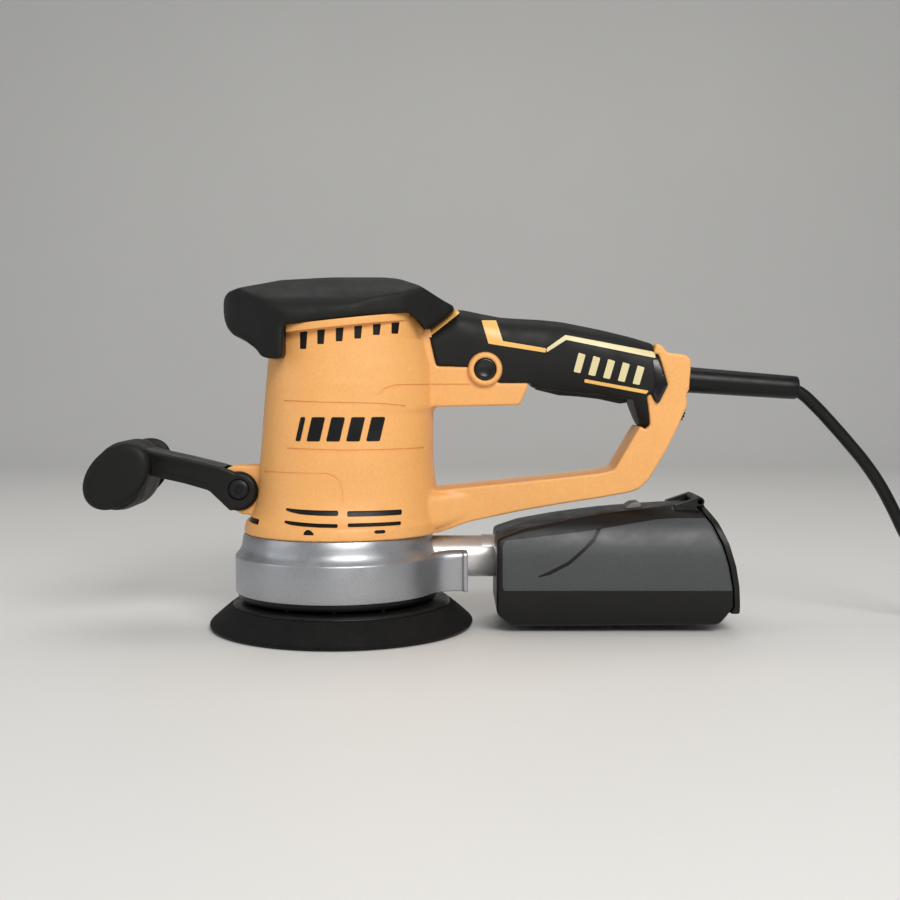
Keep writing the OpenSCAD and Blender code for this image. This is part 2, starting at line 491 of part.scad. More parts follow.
// ------------------------------------------------------------ mains lead
cord_r = cord_d / 2;
route = [[256, 0, 135.4], [262, 0, 132.5], [270, 0, 125.5], [280, 0, 115], [290, 0, 103.8], [300, 0, 91.8], [308.5, 0, 79.5],
  [316, 0, 66], [322.5, 0, 53], [329.5, 0, 40.5], [338, 0, 28], [348, 0, 17], [360, 0, 8.5], [374, 0, 4.2], [389, -0.3, 3.6], [404, -0.6, 3.6], [420, -0.6, 3.6]];
plug_route = [[374.4, 46, 17.6], [374.3, 31, 17.5], [374, 16, 17], [373.6, 2, 16.2], [373.3, -10, 15.2], [373, -21, 14.2], [373, -33, 13.5]];
coil_at = [420, 45, 0];
module strain_relief() color(black) difference() {
  union() {
    translate([186, 0, 140]) rotate([0, 90, 0]) cylinder(r1 = 7.4, r2 = 7.4, h = 12.5, $fn = 48);
    translate([189, 0, 140]) rotate([0, 90, 0]) cylinder(r = 9.2, h = 3.5, $fn = 48);
    translate([198, 0, 140]) rotate([0, 94.2, 0]) cylinder(r1 = 7.35, r2 = 6.6, h = 62, $fn = 48);
  }
  for (k = [0 : 5]) translate([206 + 8 * k, 0, 139.4 - 0.58 * k]) rotate([0, 94.2, 0]) difference() { cylinder(r = 9, h = 1.6, $fn = 32); translate([0, 0, -1]) cylinder(r = 6.3, h = 4, $fn = 32); }
}
module power_cord() color(black) tube(route, cord_r, 10);
module cord_coil() color(black) translate(coil_at) rotate_extrude($fn = 72)
  polygon([[30, 0.1], [47, 0.1], [49.2, 2.5], [49.2, 18.7], [47, 21.2], [30, 21.2], [28, 19], [28, 2.5]]);
module coil_tie() color(black) translate(coil_at) rotate(65) difference() {
  box(26.6, 50.6, -2.5, 2.5, 0, 22.4);
  box(28, 49.2, -4, 4, 0.1, 21.2);
}
module plug_lead() color(black) tube(plug_route, cord_r, 10);
module plug_body() color(black) {
  translate([373, -33, 13.5]) rotate([90, 0, 0]) cylinder(r1 = 5.2, r2 = 7.5, h = 18, $fn = 40);
  translate([373, -50, 13.5]) rotate([90, 0, 0]) linear_extrude(30) polygon([[-18, -7], [-14, -13], [14, -13], [18, -7], [18, 7], [14, 13], [-14, 13], [-18, 7]]);
}
module plug_pins() color(steel) for (s = [-1, 1]) translate([373 + s * 9.5, -80, 13.5]) rotate([90, 0, 0]) cylinder(r = 2.4, h = 19, $fn = 24);

housing_left();
housing_right();
palm_grip();
handle_grip_left();
handle_grip_right();
handle_trim();
upper_bearing();
lower_bearing();
bearing_plate();
armature_shaft();
armature_core();
armature_windings();
commutator();
stator_core();
field_coils();
brush_holders();
carbon_brushes();
brush_springs();
air_baffle();
cooling_fan();
extraction_fan();
eccentric_counterweight();
pad_bearing();
pad_spindle();
pad_screw();
backing_plate();
foam_layer();
hook_face();
pad_brake_ring();
dust_shroud();
shroud_screws();
outlet_tube();
dust_box_front();
dust_box_container();
dust_filter();
lid_hinge_pin();
dust_lid();
trigger();
trigger_pin();
switch_body();
lock_button();
speed_dial();
dial_pin();
speed_module();
capacitor();
lead_wires();
cord_clamp();
housing_screws();
front_handle_arm();
front_handle_grip();
handle_bolt();
handle_nut();
strain_relief();
power_cord();
cord_coil();
coil_tie();
plug_lead();
plug_body();
plug_pins();
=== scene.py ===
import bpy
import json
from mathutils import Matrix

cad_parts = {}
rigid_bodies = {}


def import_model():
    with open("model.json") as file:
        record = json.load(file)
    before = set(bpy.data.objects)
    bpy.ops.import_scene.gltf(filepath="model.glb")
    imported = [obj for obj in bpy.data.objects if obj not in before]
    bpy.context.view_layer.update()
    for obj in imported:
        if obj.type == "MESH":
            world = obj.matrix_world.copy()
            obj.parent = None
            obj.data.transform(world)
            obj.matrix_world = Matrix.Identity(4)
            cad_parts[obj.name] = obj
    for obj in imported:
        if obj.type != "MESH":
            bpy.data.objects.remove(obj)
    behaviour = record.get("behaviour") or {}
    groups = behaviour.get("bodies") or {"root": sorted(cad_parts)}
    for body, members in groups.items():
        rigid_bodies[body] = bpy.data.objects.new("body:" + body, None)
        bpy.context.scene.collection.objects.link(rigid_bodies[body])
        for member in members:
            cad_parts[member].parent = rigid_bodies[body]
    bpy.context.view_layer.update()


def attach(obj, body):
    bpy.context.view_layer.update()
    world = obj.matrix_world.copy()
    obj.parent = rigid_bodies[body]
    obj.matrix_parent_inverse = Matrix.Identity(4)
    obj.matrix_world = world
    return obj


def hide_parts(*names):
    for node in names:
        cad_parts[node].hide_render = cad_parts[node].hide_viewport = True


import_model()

import json
import math
import bpy
import bmesh
import numpy as np
from mathutils import Vector, Matrix

S = 0.001                      # everything below is written in millimetres
scene = bpy.context.scene
COL = bpy.data.collections.new("looks")
scene.collection.children.link(COL)

# ------------------------------------------------------------------ camera
cam_data = bpy.data.cameras.new("camera")
cam_data.sensor_width = 36.0
cam_data.lens = 49.9
cam_data.clip_start = 0.01
cam = bpy.data.objects.new("camera", cam_data)
COL.objects.link(cam)
cam.location = (0.062, -0.712, 0.1434)
cam.rotation_euler = (math.radians(90 - 3.49), 0, 0)
scene.camera = cam


# ------------------------------------------------------------------ mesh helpers
def add(name, me):
    ob = bpy.data.objects.new(name, me)
    COL.objects.link(ob)
    return ob


def mesh(name, verts, faces):
    me = bpy.data.meshes.new(name)
    me.from_pydata([(x * S, y * S, z * S) for x, y, z in verts], [], faces)
    bm = bmesh.new()
    bm.from_mesh(me)
    bmesh.ops.remove_doubles(bm, verts=bm.verts, dist=1e-7)
    bmesh.ops.dissolve_degenerate(bm, edges=bm.edges, dist=1e-8)
    bmesh.ops.recalc_face_normals(bm, faces=bm.faces)
    bm.to_mesh(me)
    bm.free()
    return add(name, me)


def kill(*obs):
    for o in obs:
        me = o.data
        bpy.data.objects.remove(o)
        if me.users == 0:
            bpy.data.meshes.remove(me)


def bake(ob):
    dg = bpy.context.evaluated_depsgraph_get()
    dg.update()
    me = bpy.data.meshes.new_from_object(ob.evaluated_get(dg), preserve_all_data_layers=True, depsgraph=dg)
    old = ob.data
    ob.modifiers.clear()
    ob.data = me
    if old.users == 0:
        bpy.data.meshes.remove(old)
    return ob


def copy(ob, name):
    return add(name, ob.data.copy())


def fillet(pts, r, seg=4):
    """Round the corners of a closed outline."""
    out, n = [], len(pts)
    for i in range(n):
        a, b, c = (Vector(pts[(i + k) % n]) for k in (-1, 0, 1))
        u, v = a - b, c - b
        lu, lv = u.length, v.length
        u.normalize(); v.normalize()
        d = max(-1, min(1, u.dot(v)))
        ang = math.acos(d)
        if ang > math.radians(172):
            out.append(tuple(b)); continue
        rr = r[i] if isinstance(r, (list, tuple)) else r
        cut_len = min(rr / math.tan(ang / 2), lu * 0.46, lv * 0.46)
        p0, p1 = b + u * cut_len, b + v * cut_len
        for k in range(seg + 1):
            t = k / seg
            out.append(tuple((1 - t) ** 2 * p0 + 2 * t * (1 - t) * b + t * t * p1))
    return out


def prism_y(name, pts, y0, y1):
    n = len(pts)
    v = [(x, y0, z) for x, z in pts] + [(x, y1, z) for x, z in pts]
    f = [list(range(n))[::-1], list(range(n, 2 * n))] + [[i, (i + 1) % n, (i + 1) % n + n, i + n] for i in range(n)]
    return mesh(name, v, f)


def prism_x(name, pts, x0, x1):
    n = len(pts)
    v = [(x0, y, z) for y, z in pts] + [(x1, y, z) for y, z in pts]
    f = [list(range(n))[::-1], list(range(n, 2 * n))] + [[i, (i + 1) % n, (i + 1) % n + n, i + n] for i in range(n)]
    return mesh(name, v, f)


def box(name, x0, x1, y0, y1, z0, z1):
    return prism_y(name, [(x0, z0), (x1, z0), (x1, z1), (x0, z1)], y0, y1)


def lathe(name, prof, at=(0, 0, 0), axis="Z", n=96, tilt=None, closed=True):
    """Revolve a closed (r, h) profile about an axis through `at`."""
    m = len(prof)
    v = []
    for k in range(n):
        a = 2 * math.pi * k / n
        for r, h in prof:
            p = Vector((r * math.cos(a), r * math.sin(a), h))
            if axis == "Y":
                p = Vector((p.x, p.z, -p.y))
            elif axis == "X":
                p = Vector((p.z, p.y, -p.x))
            if tilt is not None:
                p = tilt @ p
            v.append((p.x + at[0], p.y + at[1], p.z + at[2]))
    f = []
    for k in range(n):
        k2 = (k + 1) % n
        for i in range(m if closed else m - 1):
            j = (i + 1) % m
            f.append([k * m + i, k2 * m + i, k2 * m + j, k * m + j])
    me = bpy.data.meshes.new(name)
    me.from_pydata([(x * S, y * S, z * S) for x, y, z in v], [], f)
    bm = bmesh.new()
    bm.from_mesh(me)
    bmesh.ops.remove_doubles(bm, verts=bm.verts, dist=1e-7)
    dead = [e for e in bm.faces if e.calc_area() < 1e-14]
    bmesh.ops.delete(bm, geom=dead, context="FACES")
    bmesh.ops.recalc_face_normals(bm, faces=bm.faces)
    bm.to_mesh(me)
    bm.free()
    return add(name, me)


def ycyl(name, x, z, r, y0, y1, n=48, c=0.0):
    prof = [(0, y0), (r - c, y0), (r, y0 + c), (r, y1 - c), (r - c, y1), (0, y1)] if c else [(0, y0), (r, y0), (r, y1), (0, y1)]
    return lathe(name, prof, (x, 0, z), "Y", n)


def zcyl(name, x, y, r, z0, z1, n=48):
    return lathe(name, [(0, z0), (r, z0), (r, z1), (0, z1)], (x, y, 0), "Z", n)


def xcyl(name, y, z, r, x0, x1, n=64):
    return lathe(name, [(0, x0), (r, x0), (r, x1), (0, x1)], (0, y, z), "X", n)


def loft(name, rings):
    m = len(rings[0])
    v = [p for ring in rings for p in ring]
    f = []
    for i in range(len(rings) - 1):
        for k in range(m):
            k2 = (k + 1) % m
            f.append([i * m + k, i * m + k2, (i + 1) * m + k2, (i + 1) * m + k])
    f.append(list(range(m))[::-1])
    f.append([(len(rings) - 1) * m + k for k in range(m)])
    return mesh(name, v, f)


def join(name, *obs):
    bm = bmesh.new()
    for o in obs:
        bm.from_mesh(o.data)
    me = bpy.data.meshes.new(name)
    bm.to_mesh(me)
    bm.free()
    kill(*obs)
    return add(name, me)


def boolean(ob, others, op="DIFFERENCE", keep=False, solver="MANIFOLD"):
    others = list(others)
    backup = ob.data.copy()
    for o in others:
        m = ob.modifiers.new("b", "BOOLEAN")
        m.object = o
        m.operation = op
        m.solver = solver
    bake(ob)
    if len(ob.data.polygons) == 0 and solver == "MANIFOLD":
        print("boolean fallback", ob.name)
        ob.data = backup
        boolean(ob, others, op, True, "EXACT")
    if not keep:
        kill(*others)
    return ob


def cut(ob, *others, **kw):
    return boolean(ob, others, "DIFFERENCE", **kw)


def meet(ob, *others, **kw):
    return boolean(ob, others, "INTERSECT", **kw)


def fuse(ob, *others, **kw):
    return boolean(ob, others, "UNION", **kw)


def remesh(ob, voxel, smooth=4, factor=0.5):
    m = ob.modifiers.new("r", "REMESH")
    m.mode = "VOXEL"
    m.voxel_size = voxel * S
    m.use_smooth_shade = True
    if smooth:
        s = ob.modifiers.new("s", "SMOOTH")
        s.iterations = smooth
        s.factor = factor
    return bake(ob)


def bevel(ob, w, seg=3, angle=50):
    m = ob.modifiers.new("v", "BEVEL")
    m.width = w * S
    m.segments = seg
    m.limit_method = "ANGLE"
    m.angle_limit = math.radians(angle)
    m.use_clamp_overlap = True
    m.miter_outer = "MITER_ARC"
    return bake(ob)


def offset(ob, name, d):
    """A copy whose surface is moved d mm along its normals."""
    c = copy(ob, name)
    me = c.data
    n = len(me.vertices)
    co = np.empty(n * 3, dtype=np.float32)
    no = np.empty(n * 3, dtype=np.float32)
    me.vertices.foreach_get("co", co)
    me.vertex_normals.foreach_get("vector", no)
    me.vertices.foreach_set("co", co + no * d * S)
    me.update()
    return c


def plate(name, base, blades, out, inn):
    """Thin plates that follow the surface of `base` where the blades cross it."""
    big = offset(base, name + "_big", out)
    small = offset(base, name + "_small", -inn)
    meet(blades, big)
    cut(blades, small)
    blades.name = name
    return blades


def finish(ob, name, body, mat, nodes=(), sharp=38):
    ob.name = name
    ob.data.name = name
    me = ob.data
    bm = bmesh.new()
    bm.from_mesh(me)
    bmesh.ops.remove_doubles(bm, verts=bm.verts, dist=2e-6)
    bmesh.ops.dissolve_degenerate(bm, edges=bm.edges, dist=1e-6)
    loose = [v for v in bm.verts if not v.link_faces]
    bmesh.ops.delete(bm, geom=loose, context="VERTS")
    bm.to_mesh(me)
    bm.free()
    me.shade_smooth()
    if sharp:
        me.set_sharp_from_angle(angle=math.radians(sharp))
    me.materials.clear()
    for m in (mat if isinstance(mat, (list, tuple)) else [mat]):
        me.materials.append(m)
    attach(ob, body)
    if nodes:
        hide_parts(*nodes)
    return ob


def halve(ob, gap=0.06):
    """Split at Y = 0 into the -Y part and the +Y part, a hair apart."""
    out = []
    for s in (-1, 1):
        h = copy(ob, ob.name + ("_l" if s < 0 else "_r"))
        bm = bmesh.new()
        bm.from_mesh(h.data)
        geom = list(bm.verts) + list(bm.edges) + list(bm.faces)
        res = bmesh.ops.bisect_plane(bm, geom=geom, dist=1e-7, plane_co=(0, s * gap * S, 0), plane_no=(0, -s, 0), clear_outer=True)
        edges = [e for e in res["geom_cut"] if isinstance(e, bmesh.types.BMEdge)]
        bmesh.ops.triangle_fill(bm, edges=edges, use_beauty=True, use_dissolve=False)
        bmesh.ops.recalc_face_normals(bm, faces=bm.faces)
        bm.to_mesh(h.data)
        bm.free()
        out.append(h)
    kill(ob)
    return out


# ------------------------------------------------------------------ materials
def lin(r, g, b):
    return tuple(((c / 255) / 12.92 if c <= 10.31 else ((c / 255 + 0.055) / 1.055) ** 2.4) for c in (r, g, b))


def material(name, rgb, rough=0.5, metallic=0.0, grain=1400.0, bump=0.25, depth=0.06, vary=0.10, patch=30.0,
             wear=0.25, wear_rgb=None, rough_vary=0.08, pattern="noise", spec=0.5, coat=0.0, coat_rough=0.2, sheen=0.0,
             speck=0.0, streak=None, aniso=0.0):
    base = lin(*rgb)
    wr = lin(*wear_rgb) if wear_rgb else tuple(min(1, c * 1.5 + 0.03) for c in base)
    m = bpy.data.materials.new(name)
    m.use_nodes = True
    nt = m.node_tree
    nt.nodes.clear()
    N = nt.nodes.new
    L = nt.links.new
    out = N("ShaderNodeOutputMaterial")
    bs = N("ShaderNodeBsdfPrincipled")
    L(bs.outputs["BSDF"], out.inputs["Surface"])
    tc = N("ShaderNodeTexCoord")
    co = tc.outputs["Object"]
    if streak:
        mp = N("ShaderNodeMapping")
        mp.inputs["Scale"].default_value = streak
        L(co, mp.inputs["Vector"])
        fine_co = mp.outputs["Vector"]
    else:
        fine_co = co
    # colour: broad patches and a fine speckle
    big = N("ShaderNodeTexNoise")
    big.inputs["Scale"].default_value = patch
    big.inputs["Detail"].default_value = 5.0
    big.inputs["Roughness"].default_value = 0.6
    L(co, big.inputs["Vector"])
    ramp = N("ShaderNodeValToRGB")
    ramp.color_ramp.elements[0].position = 0.28
    ramp.color_ramp.elements[1].position = 0.72
    ramp.color_ramp.elements[0].color = tuple(c * (1 - vary) for c in base) + (1,)
    ramp.color_ramp.elements[1].color = tuple(min(1, c * (1 + vary)) for c in base) + (1,)
    L(big.outputs["Fac"], ramp.inputs["Fac"])
    colour = ramp.outputs["Color"]
    fine = N("ShaderNodeTexNoise")
    fine.inputs["Scale"].default_value = grain * 0.6
    fine.inputs["Detail"].default_value = 3.0
    L(fine_co, fine.inputs["Vector"])
    if speck:
        mr = N("ShaderNodeMapRange")
        mr.inputs["From Min"].default_value = 0.35
        mr.inputs["From Max"].default_value = 0.65
        mr.inputs["To Min"].default_value = 1 - speck
        mr.inputs["To Max"].default_value = 1 + speck
        L(fine.outputs["Fac"], mr.inputs["Value"])
        mul = N("ShaderNodeMix")
        mul.data_type = "RGBA"
        mul.blend_type = "MULTIPLY"
        mul.inputs["Factor"].default_value = 1.0
        L(colour, mul.inputs["A"])
        L(mr.outputs["Result"], mul.inputs["B"])
        colour = mul.outputs["Result"]
    if wear:
        geo = N("ShaderNodeNewGeometry")
        edge = N("ShaderNodeMapRange")
        edge.inputs["From Min"].default_value = 0.53
        edge.inputs["From Max"].default_value = 0.62
        L(geo.outputs["Pointiness"], edge.inputs["Value"])
        scuff = N("ShaderNodeTexNoise")
        scuff.inputs["Scale"].default_value = 240.0
        scuff.inputs["Detail"].default_value = 6.0
        L(co, scuff.inputs["Vector"])
        sm = N("ShaderNodeMapRange")
        sm.inputs["From Min"].default_value = 0.40
        sm.inputs["From Max"].default_value = 0.62
        L(scuff.outputs["Fac"], sm.inputs["Value"])
        mm = N("ShaderNodeMath")
        mm.operation = "MULTIPLY"
        L(edge.outputs["Result"], mm.inputs[0])
        L(sm.outputs["Result"], mm.inputs[1])
        mk = N("ShaderNodeMath")
        mk.operation = "MULTIPLY"
        mk.inputs[1].default_value = wear
        L(mm.outputs[0], mk.inputs[0])
        wmix = N("ShaderNodeMix")
        wmix.data_type = "RGBA"
        L(mk.outputs[0], wmix.inputs["Factor"])
        L(colour, wmix.inputs["A"])
        wmix.inputs["B"].default_value = wr + (1,)
        colour = wmix.outputs["Result"]
    L(colour, bs.inputs["Base Color"])
    # roughness
    rn = N("ShaderNodeTexNoise")
    rn.inputs["Scale"].default_value = 90.0
    rn.inputs["Detail"].default_value = 6.0
    L(fine_co if streak else co, rn.inputs["Vector"])
    rr = N("ShaderNodeMapRange")
    rr.inputs["From Min"].default_value = 0.3
    rr.inputs["From Max"].default_value = 0.7
    rr.inputs["To Min"].default_value = max(0.03, rough - rough_vary)
    rr.inputs["To Max"].default_value = min(1.0, rough + rough_vary)
    L(rn.outputs["Fac"], rr.inputs["Value"])
    L(rr.outputs["Result"], bs.inputs["Roughness"])
    # bump
    if pattern == "voronoi":
        vt = N("ShaderNodeTexVoronoi")
        vt.inputs["Scale"].default_value = grain
        L(co, vt.inputs["Vector"])
        h = vt.outputs["Distance"]
    elif pattern == "weave":
        wv = N("ShaderNodeTexWave")
        wv.inputs["Scale"].default_value = grain * 0.3
        wv.inputs["Distortion"].default_value = 1.5
        L(co, wv.inputs["Vector"])
        h = wv.outputs["Fac"]
    else:
        gn = N("ShaderNodeTexNoise")
        gn.inputs["Scale"].default_value = grain
        gn.inputs["Detail"].default_value = 4.0
        L(fine_co, gn.inputs["Vector"])
        h = gn.outputs["Fac"]
    bp = N("ShaderNodeBump")
    bp.inputs["Strength"].default_value = bump
    bp.inputs["Distance"].default_value = depth * S
    L(h, bp.inputs["Height"])
    L(bp.outputs["Normal"], bs.inputs["Normal"])
    bs.inputs["Metallic"].default_value = metallic
    bs.inputs["Specular IOR Level"].default_value = spec
    if coat:
        bs.inputs["Coat Weight"].default_value = coat
        bs.inputs["Coat Roughness"].default_value = coat_rough
    if sheen:
        bs.inputs["Sheen Weight"].default_value = sheen
        bs.inputs["Sheen Roughness"].default_value = 0.4
    if aniso:
        bs.inputs["Anisotropic"].default_value = aniso
    return m


ORANGE = material("orange_plastic", (238, 174, 103), rough=0.42, grain=1100, bump=0.22, depth=0.05, vary=0.035, wear=0.30,
                  wear_rgb=(248, 212, 164), speck=0.03, spec=0.42)
SOFT = material("soft_black_rubber", (18, 18, 17), rough=0.54, grain=1500, bump=0.45, depth=0.07, vary=0.12, wear=0.22,
                wear_rgb=(66, 66, 64), pattern="voronoi", speck=0.10, spec=0.26)
BLACK = material("black_plastic", (15, 15, 14), rough=0.42, grain=1300, bump=0.25, depth=0.05, vary=0.12, wear=0.25, wear_rgb=(58, 58, 56), speck=0.08, spec=0.3)
GLOSSBLACK = material("gloss_black_plastic", (15, 15, 15), rough=0.20, grain=900, bump=0.10, depth=0.03, vary=0.08, wear=0.15, wear_rgb=(60, 60, 60))
RUBBER = material("black_rubber", (9, 9, 10), rough=0.40, grain=1700, bump=0.25, depth=0.05, vary=0.16, wear=0.12, wear_rgb=(40, 40, 40), spec=0.26)
CORDMAT = material("cord_jacket", (9, 9, 10), rough=0.40, grain=1900, bump=0.25, depth=0.05, vary=0.16, wear=0.0, spec=0.28)
GREY = material("grey_plastic", (66, 68, 70), rough=0.44, grain=1200, bump=0.32, depth=0.06, vary=0.06, wear=0.22, wear_rgb=(112, 114, 116), speck=0.06, spec=0.42)
CATCH = material("light_grey_plastic", (118, 118, 116), rough=0.42, grain=1200, bump=0.3, depth=0.05, vary=0.05, wear=0.2, wear_rgb=(160, 160, 158), speck=0.05)
TRIM = material("yellow_trim", (240, 186, 104), rough=0.38, grain=1200, bump=0.15, depth=0.04, vary=0.03, wear=0.12, wear_rgb=(255, 230, 180), speck=0.02)
# pale trim: its pale colour is print on the slanted bars, and painted sheen whitening the right part of the long stripe
PALE_TRIM_AND_SHEEN = material("cream_trim", (222, 209, 160), rough=0.40, grain=1200, bump=0.15, depth=0.04, vary=0.03, wear=0.0, speck=0.02)
SILVER = material("silver_paint", (168, 170, 174), rough=0.38, metallic=0.75, grain=2200, bump=0.12, depth=0.03, vary=0.04, wear=0.0,
                  speck=0.07, coat=0.12, coat_rough=0.3)
CAST = material("cast_aluminium", (228, 228, 227), rough=0.36, metallic=0.7, grain=1600, bump=0.10, depth=0.02, vary=0.03, wear=0.0, speck=0.03, rough_vary=0.03)
STEEL = material("bright_steel", (196, 197, 200), rough=0.24, metallic=1.0, grain=600, bump=0.18, depth=0.03, vary=0.05, wear=0.2,
                 wear_rgb=(235, 235, 235), streak=(1, 1, 12))
DARKSTEEL = material("blackened_steel", (34, 34, 35), rough=0.40, metallic=0.7, grain=900, bump=0.25, depth=0.04, vary=0.15, wear=0.3,
                     wear_rgb=(110, 110, 112), speck=0.1)
LAMINATION = material("lamination_steel", (120, 122, 126), rough=0.40, metallic=0.9, grain=500, bump=0.5, depth=0.05, vary=0.12, wear=0.2,
                      wear_rgb=(200, 200, 200), streak=(0.4, 0.4, 9))
COPPER = material("copper_wire", (186, 98, 48), rough=0.30, metallic=0.85, grain=500, bump=0.6, depth=0.08, vary=0.10, wear=0.1,
                  wear_rgb=(240, 170, 120), pattern="weave")
CARBON = material("carbon", (38, 38, 40), rough=0.6, grain=900, bump=0.4, depth=0.05, vary=0.15, wear=0.2, wear_rgb=(90, 90, 92))
FOAM = material("pad_foam", (13, 13, 12), rough=0.84, grain=900, bump=0.9, depth=0.22, vary=0.18, wear=0.15, wear_rgb=(54, 54, 52), pattern="voronoi", speck=0.2, spec=0.28)
HOOK = material("hook_fabric", (18, 18, 18), rough=0.9, grain=800, bump=1.0, depth=0.4, vary=0.2, wear=0.0, pattern="voronoi", speck=0.3, sheen=0.2, spec=0.3)
PAPER = material("filter_paper", (214, 205, 178), rough=0.85, grain=700, bump=0.5, depth=0.10, vary=0.08, wear=0.1, wear_rgb=(235, 230, 210), speck=0.08)
BOARD = material("circuit_board", (24, 74, 42), rough=0.45, grain=400, bump=0.3, depth=0.05, vary=0.2, wear=0.3, wear_rgb=(190, 150, 80), speck=0.15)
WIRE = material("wire_cover", (120, 58, 34), rough=0.45, grain=900, bump=0.2, depth=0.03, vary=0.15, wear=0.0)
CAPMAT = material("capacitor_film", (206, 190, 70), rough=0.35, grain=600, bump=0.2, depth=0.04, vary=0.06, wear=0.2, wear_rgb=(235, 225, 150))
BRASS = material("brass_pins", (206, 172, 104), rough=0.26, metallic=1.0, grain=500, bump=0.15, depth=0.02, vary=0.06, wear=0.2, wear_rgb=(240, 220, 170), streak=(1, 9, 1))

# ------------------------------------------------------------------ mains lead
ROUTE = [(256, 0, 135.4), (262, 0, 132.5), (270, 0, 125.5), (280, 0, 115), (290, 0, 103.8), (300, 0, 91.8), (308.5, 0, 79.5),
         (316, 0, 66), (322.5, 0, 53), (329.5, 0, 40.5), (338, 0, 28), (348, 0, 17), (360, 0, 8.5), (374, 0, 4.2), (389, -0.3, 3.6),
         (404, -0.6, 3.6)]
PLUG_ROUTE = [(374.3, 31, 17.8), (374, 16, 17.4), (373.6, 2, 16.4), (373.3, -10, 15.2), (373, -21, 14.2), (373, -33, 13.5)]
CX, CY = 420.0, 45.0


def coil_point(phi):
    """phi in degrees from where the lead joins the coil."""
    def mixf(a, b, t):
        t = max(0.0, min(1.0, t))
        return a + (b - a) * t
    if phi <= 720:
        r, z = mixf(45.6, 31.2, phi / 720), 3.6
    elif phi <= 900:
        t = (phi - 720) / 180
        r, z = 31.2, mixf(3.6, 10.7, t * t * (3 - 2 * t))
    elif phi <= 1620:
        r, z = mixf(31.2, 45.6, (phi - 900) / 720), 10.7
    elif phi <= 1800:
        t = (phi - 1620) / 180
        r, z = mixf(45.6, 46.2, t), mixf(10.7, 17.8, t * t * (3 - 2 * t))
    else:
        r, z = mixf(46.2, 45.7, (phi - 1800) / 270), 17.8
    a = math.radians(phi - 90)
    return (CX + r * math.cos(a), CY + r * math.sin(a), z)


LEAD = list(ROUTE) + [coil_point(20.0 * k) for k in range(0, 103)] + [coil_point(2070 - 7)] + PLUG_ROUTE
cu = bpy.data.curves.new("mains_lead", "CURVE")
cu.dimensions = "3D"
cu.bevel_depth = 0.0035
cu.bevel_resolution = 5
cu.resolution_u = 5
cu.use_fill_caps = True
sp = cu.splines.new("BEZIER")
sp.bezier_points.add(len(LEAD) - 1)
for b, p in zip(sp.bezier_points, LEAD):
    b.co = (p[0] * S, p[1] * S, p[2] * S)
    b.handle_left_type = b.handle_right_type = "AUTO"
lead = bpy.data.objects.new("mains_lead", cu)
COL.objects.link(lead)
cu.materials.append(CORDMAT)
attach(lead, "housing")
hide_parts("power_cord", "cord_coil", "plug_lead")

# plug: grooved body with a neck, ridged grip and two pins
plug_outline = [(-18, -7), (-14, -13), (14, -13), (18, -7), (18, 7), (14, 13), (-14, 13), (-18, 7)]


def plug_ring(y, s):
    pts = fillet(plug_outline, 5, 3)
    return [(373 + x * s, y, 13.5 + z * s * (1 if s <= 1 else 1)) for x, z in pts]


rings = [plug_ring(-50, 0.80), plug_ring(-51, 0.90), plug_ring(-53, 0.96)]
for k in range(5):
    y = -56 - 3.6 * k
    rings += [plug_ring(y, 0.985), plug_ring(y - 0.7, 0.93), plug_ring(y - 1.5, 0.93), plug_ring(y - 2.2, 0.985)]
rings += [plug_ring(-76.5, 0.99), plug_ring(-79, 0.97), plug_ring(-80, 0.92)]
plug = loft("plug", rings)
neck = lathe("neck", [(0, -51), (7.5, -51), (7.6, -49.5), (6.9, -48), (7.2, -46.5), (6.6, -45), (6.8, -43.5), (6.2, -42), (6.4, -40.5), (5.8, -39),
                      (5.9, -37.5), (5.3, -36), (5.2, -33.6), (4.4, -33), (0, -33)], (373, 0, 13.5), "Y", 40)
plug = fuse(plug, neck)
finish(plug, "plug_body_moulding", "housing", RUBBER, ("plug_body",), 40)
pins = join("pins", *[lathe("pin", [(0, -99), (1.5, -99), (2.4, -97.6), (2.4, -87), (2.35, -86.6), (2.35, -79), (0, -79)], (373 + s * 9.5, 0, 13.5), "Y", 32) for s in (-1, 1)])
finish(pins, "plug_contact_pins", "housing", BRASS, ("plug_pins",), 40)


# tie round the coil: a flat band whose section follows the coil
def band():
    pts_out = fillet([(26.8, 0.15), (50.4, 0.15), (50.4, 22.2), (26.8, 22.2)], 3.2, 5)
    pts_in = fillet([(28.0, 0.9), (49.2, 0.9), (49.2, 21.3), (28.0, 21.3)], 2.6, 5)
    v, f = [], []
    m = len(pts_out)
    for y in (-2.4, 2.4):
        for pts in (pts_out, pts_in):
            v += [(x, y, z) for x, z in pts]
    for k in range(m):
        k2 = (k + 1) % m
        f += [[k, k2, m + k2, m + k], [2 * m + k, 3 * m + k, 3 * m + k2, 2 * m + k2],
              [k, 2 * m + k, 2 * m + k2, k2], [m + k, m + k2, 3 * m + k2, 3 * m + k]]
    a = math.radians(65)
    v = [(CX + x * math.cos(a) - y * math.sin(a), CY + x * math.sin(a) + y * math.cos(a), z) for x, y, z in v]
    return mesh("tie", v, f)


tie = bevel(band(), 0.25, 2, 60)
finish(tie, "coil_tie_band", "housing", SOFT, ("coil_tie",), 35)

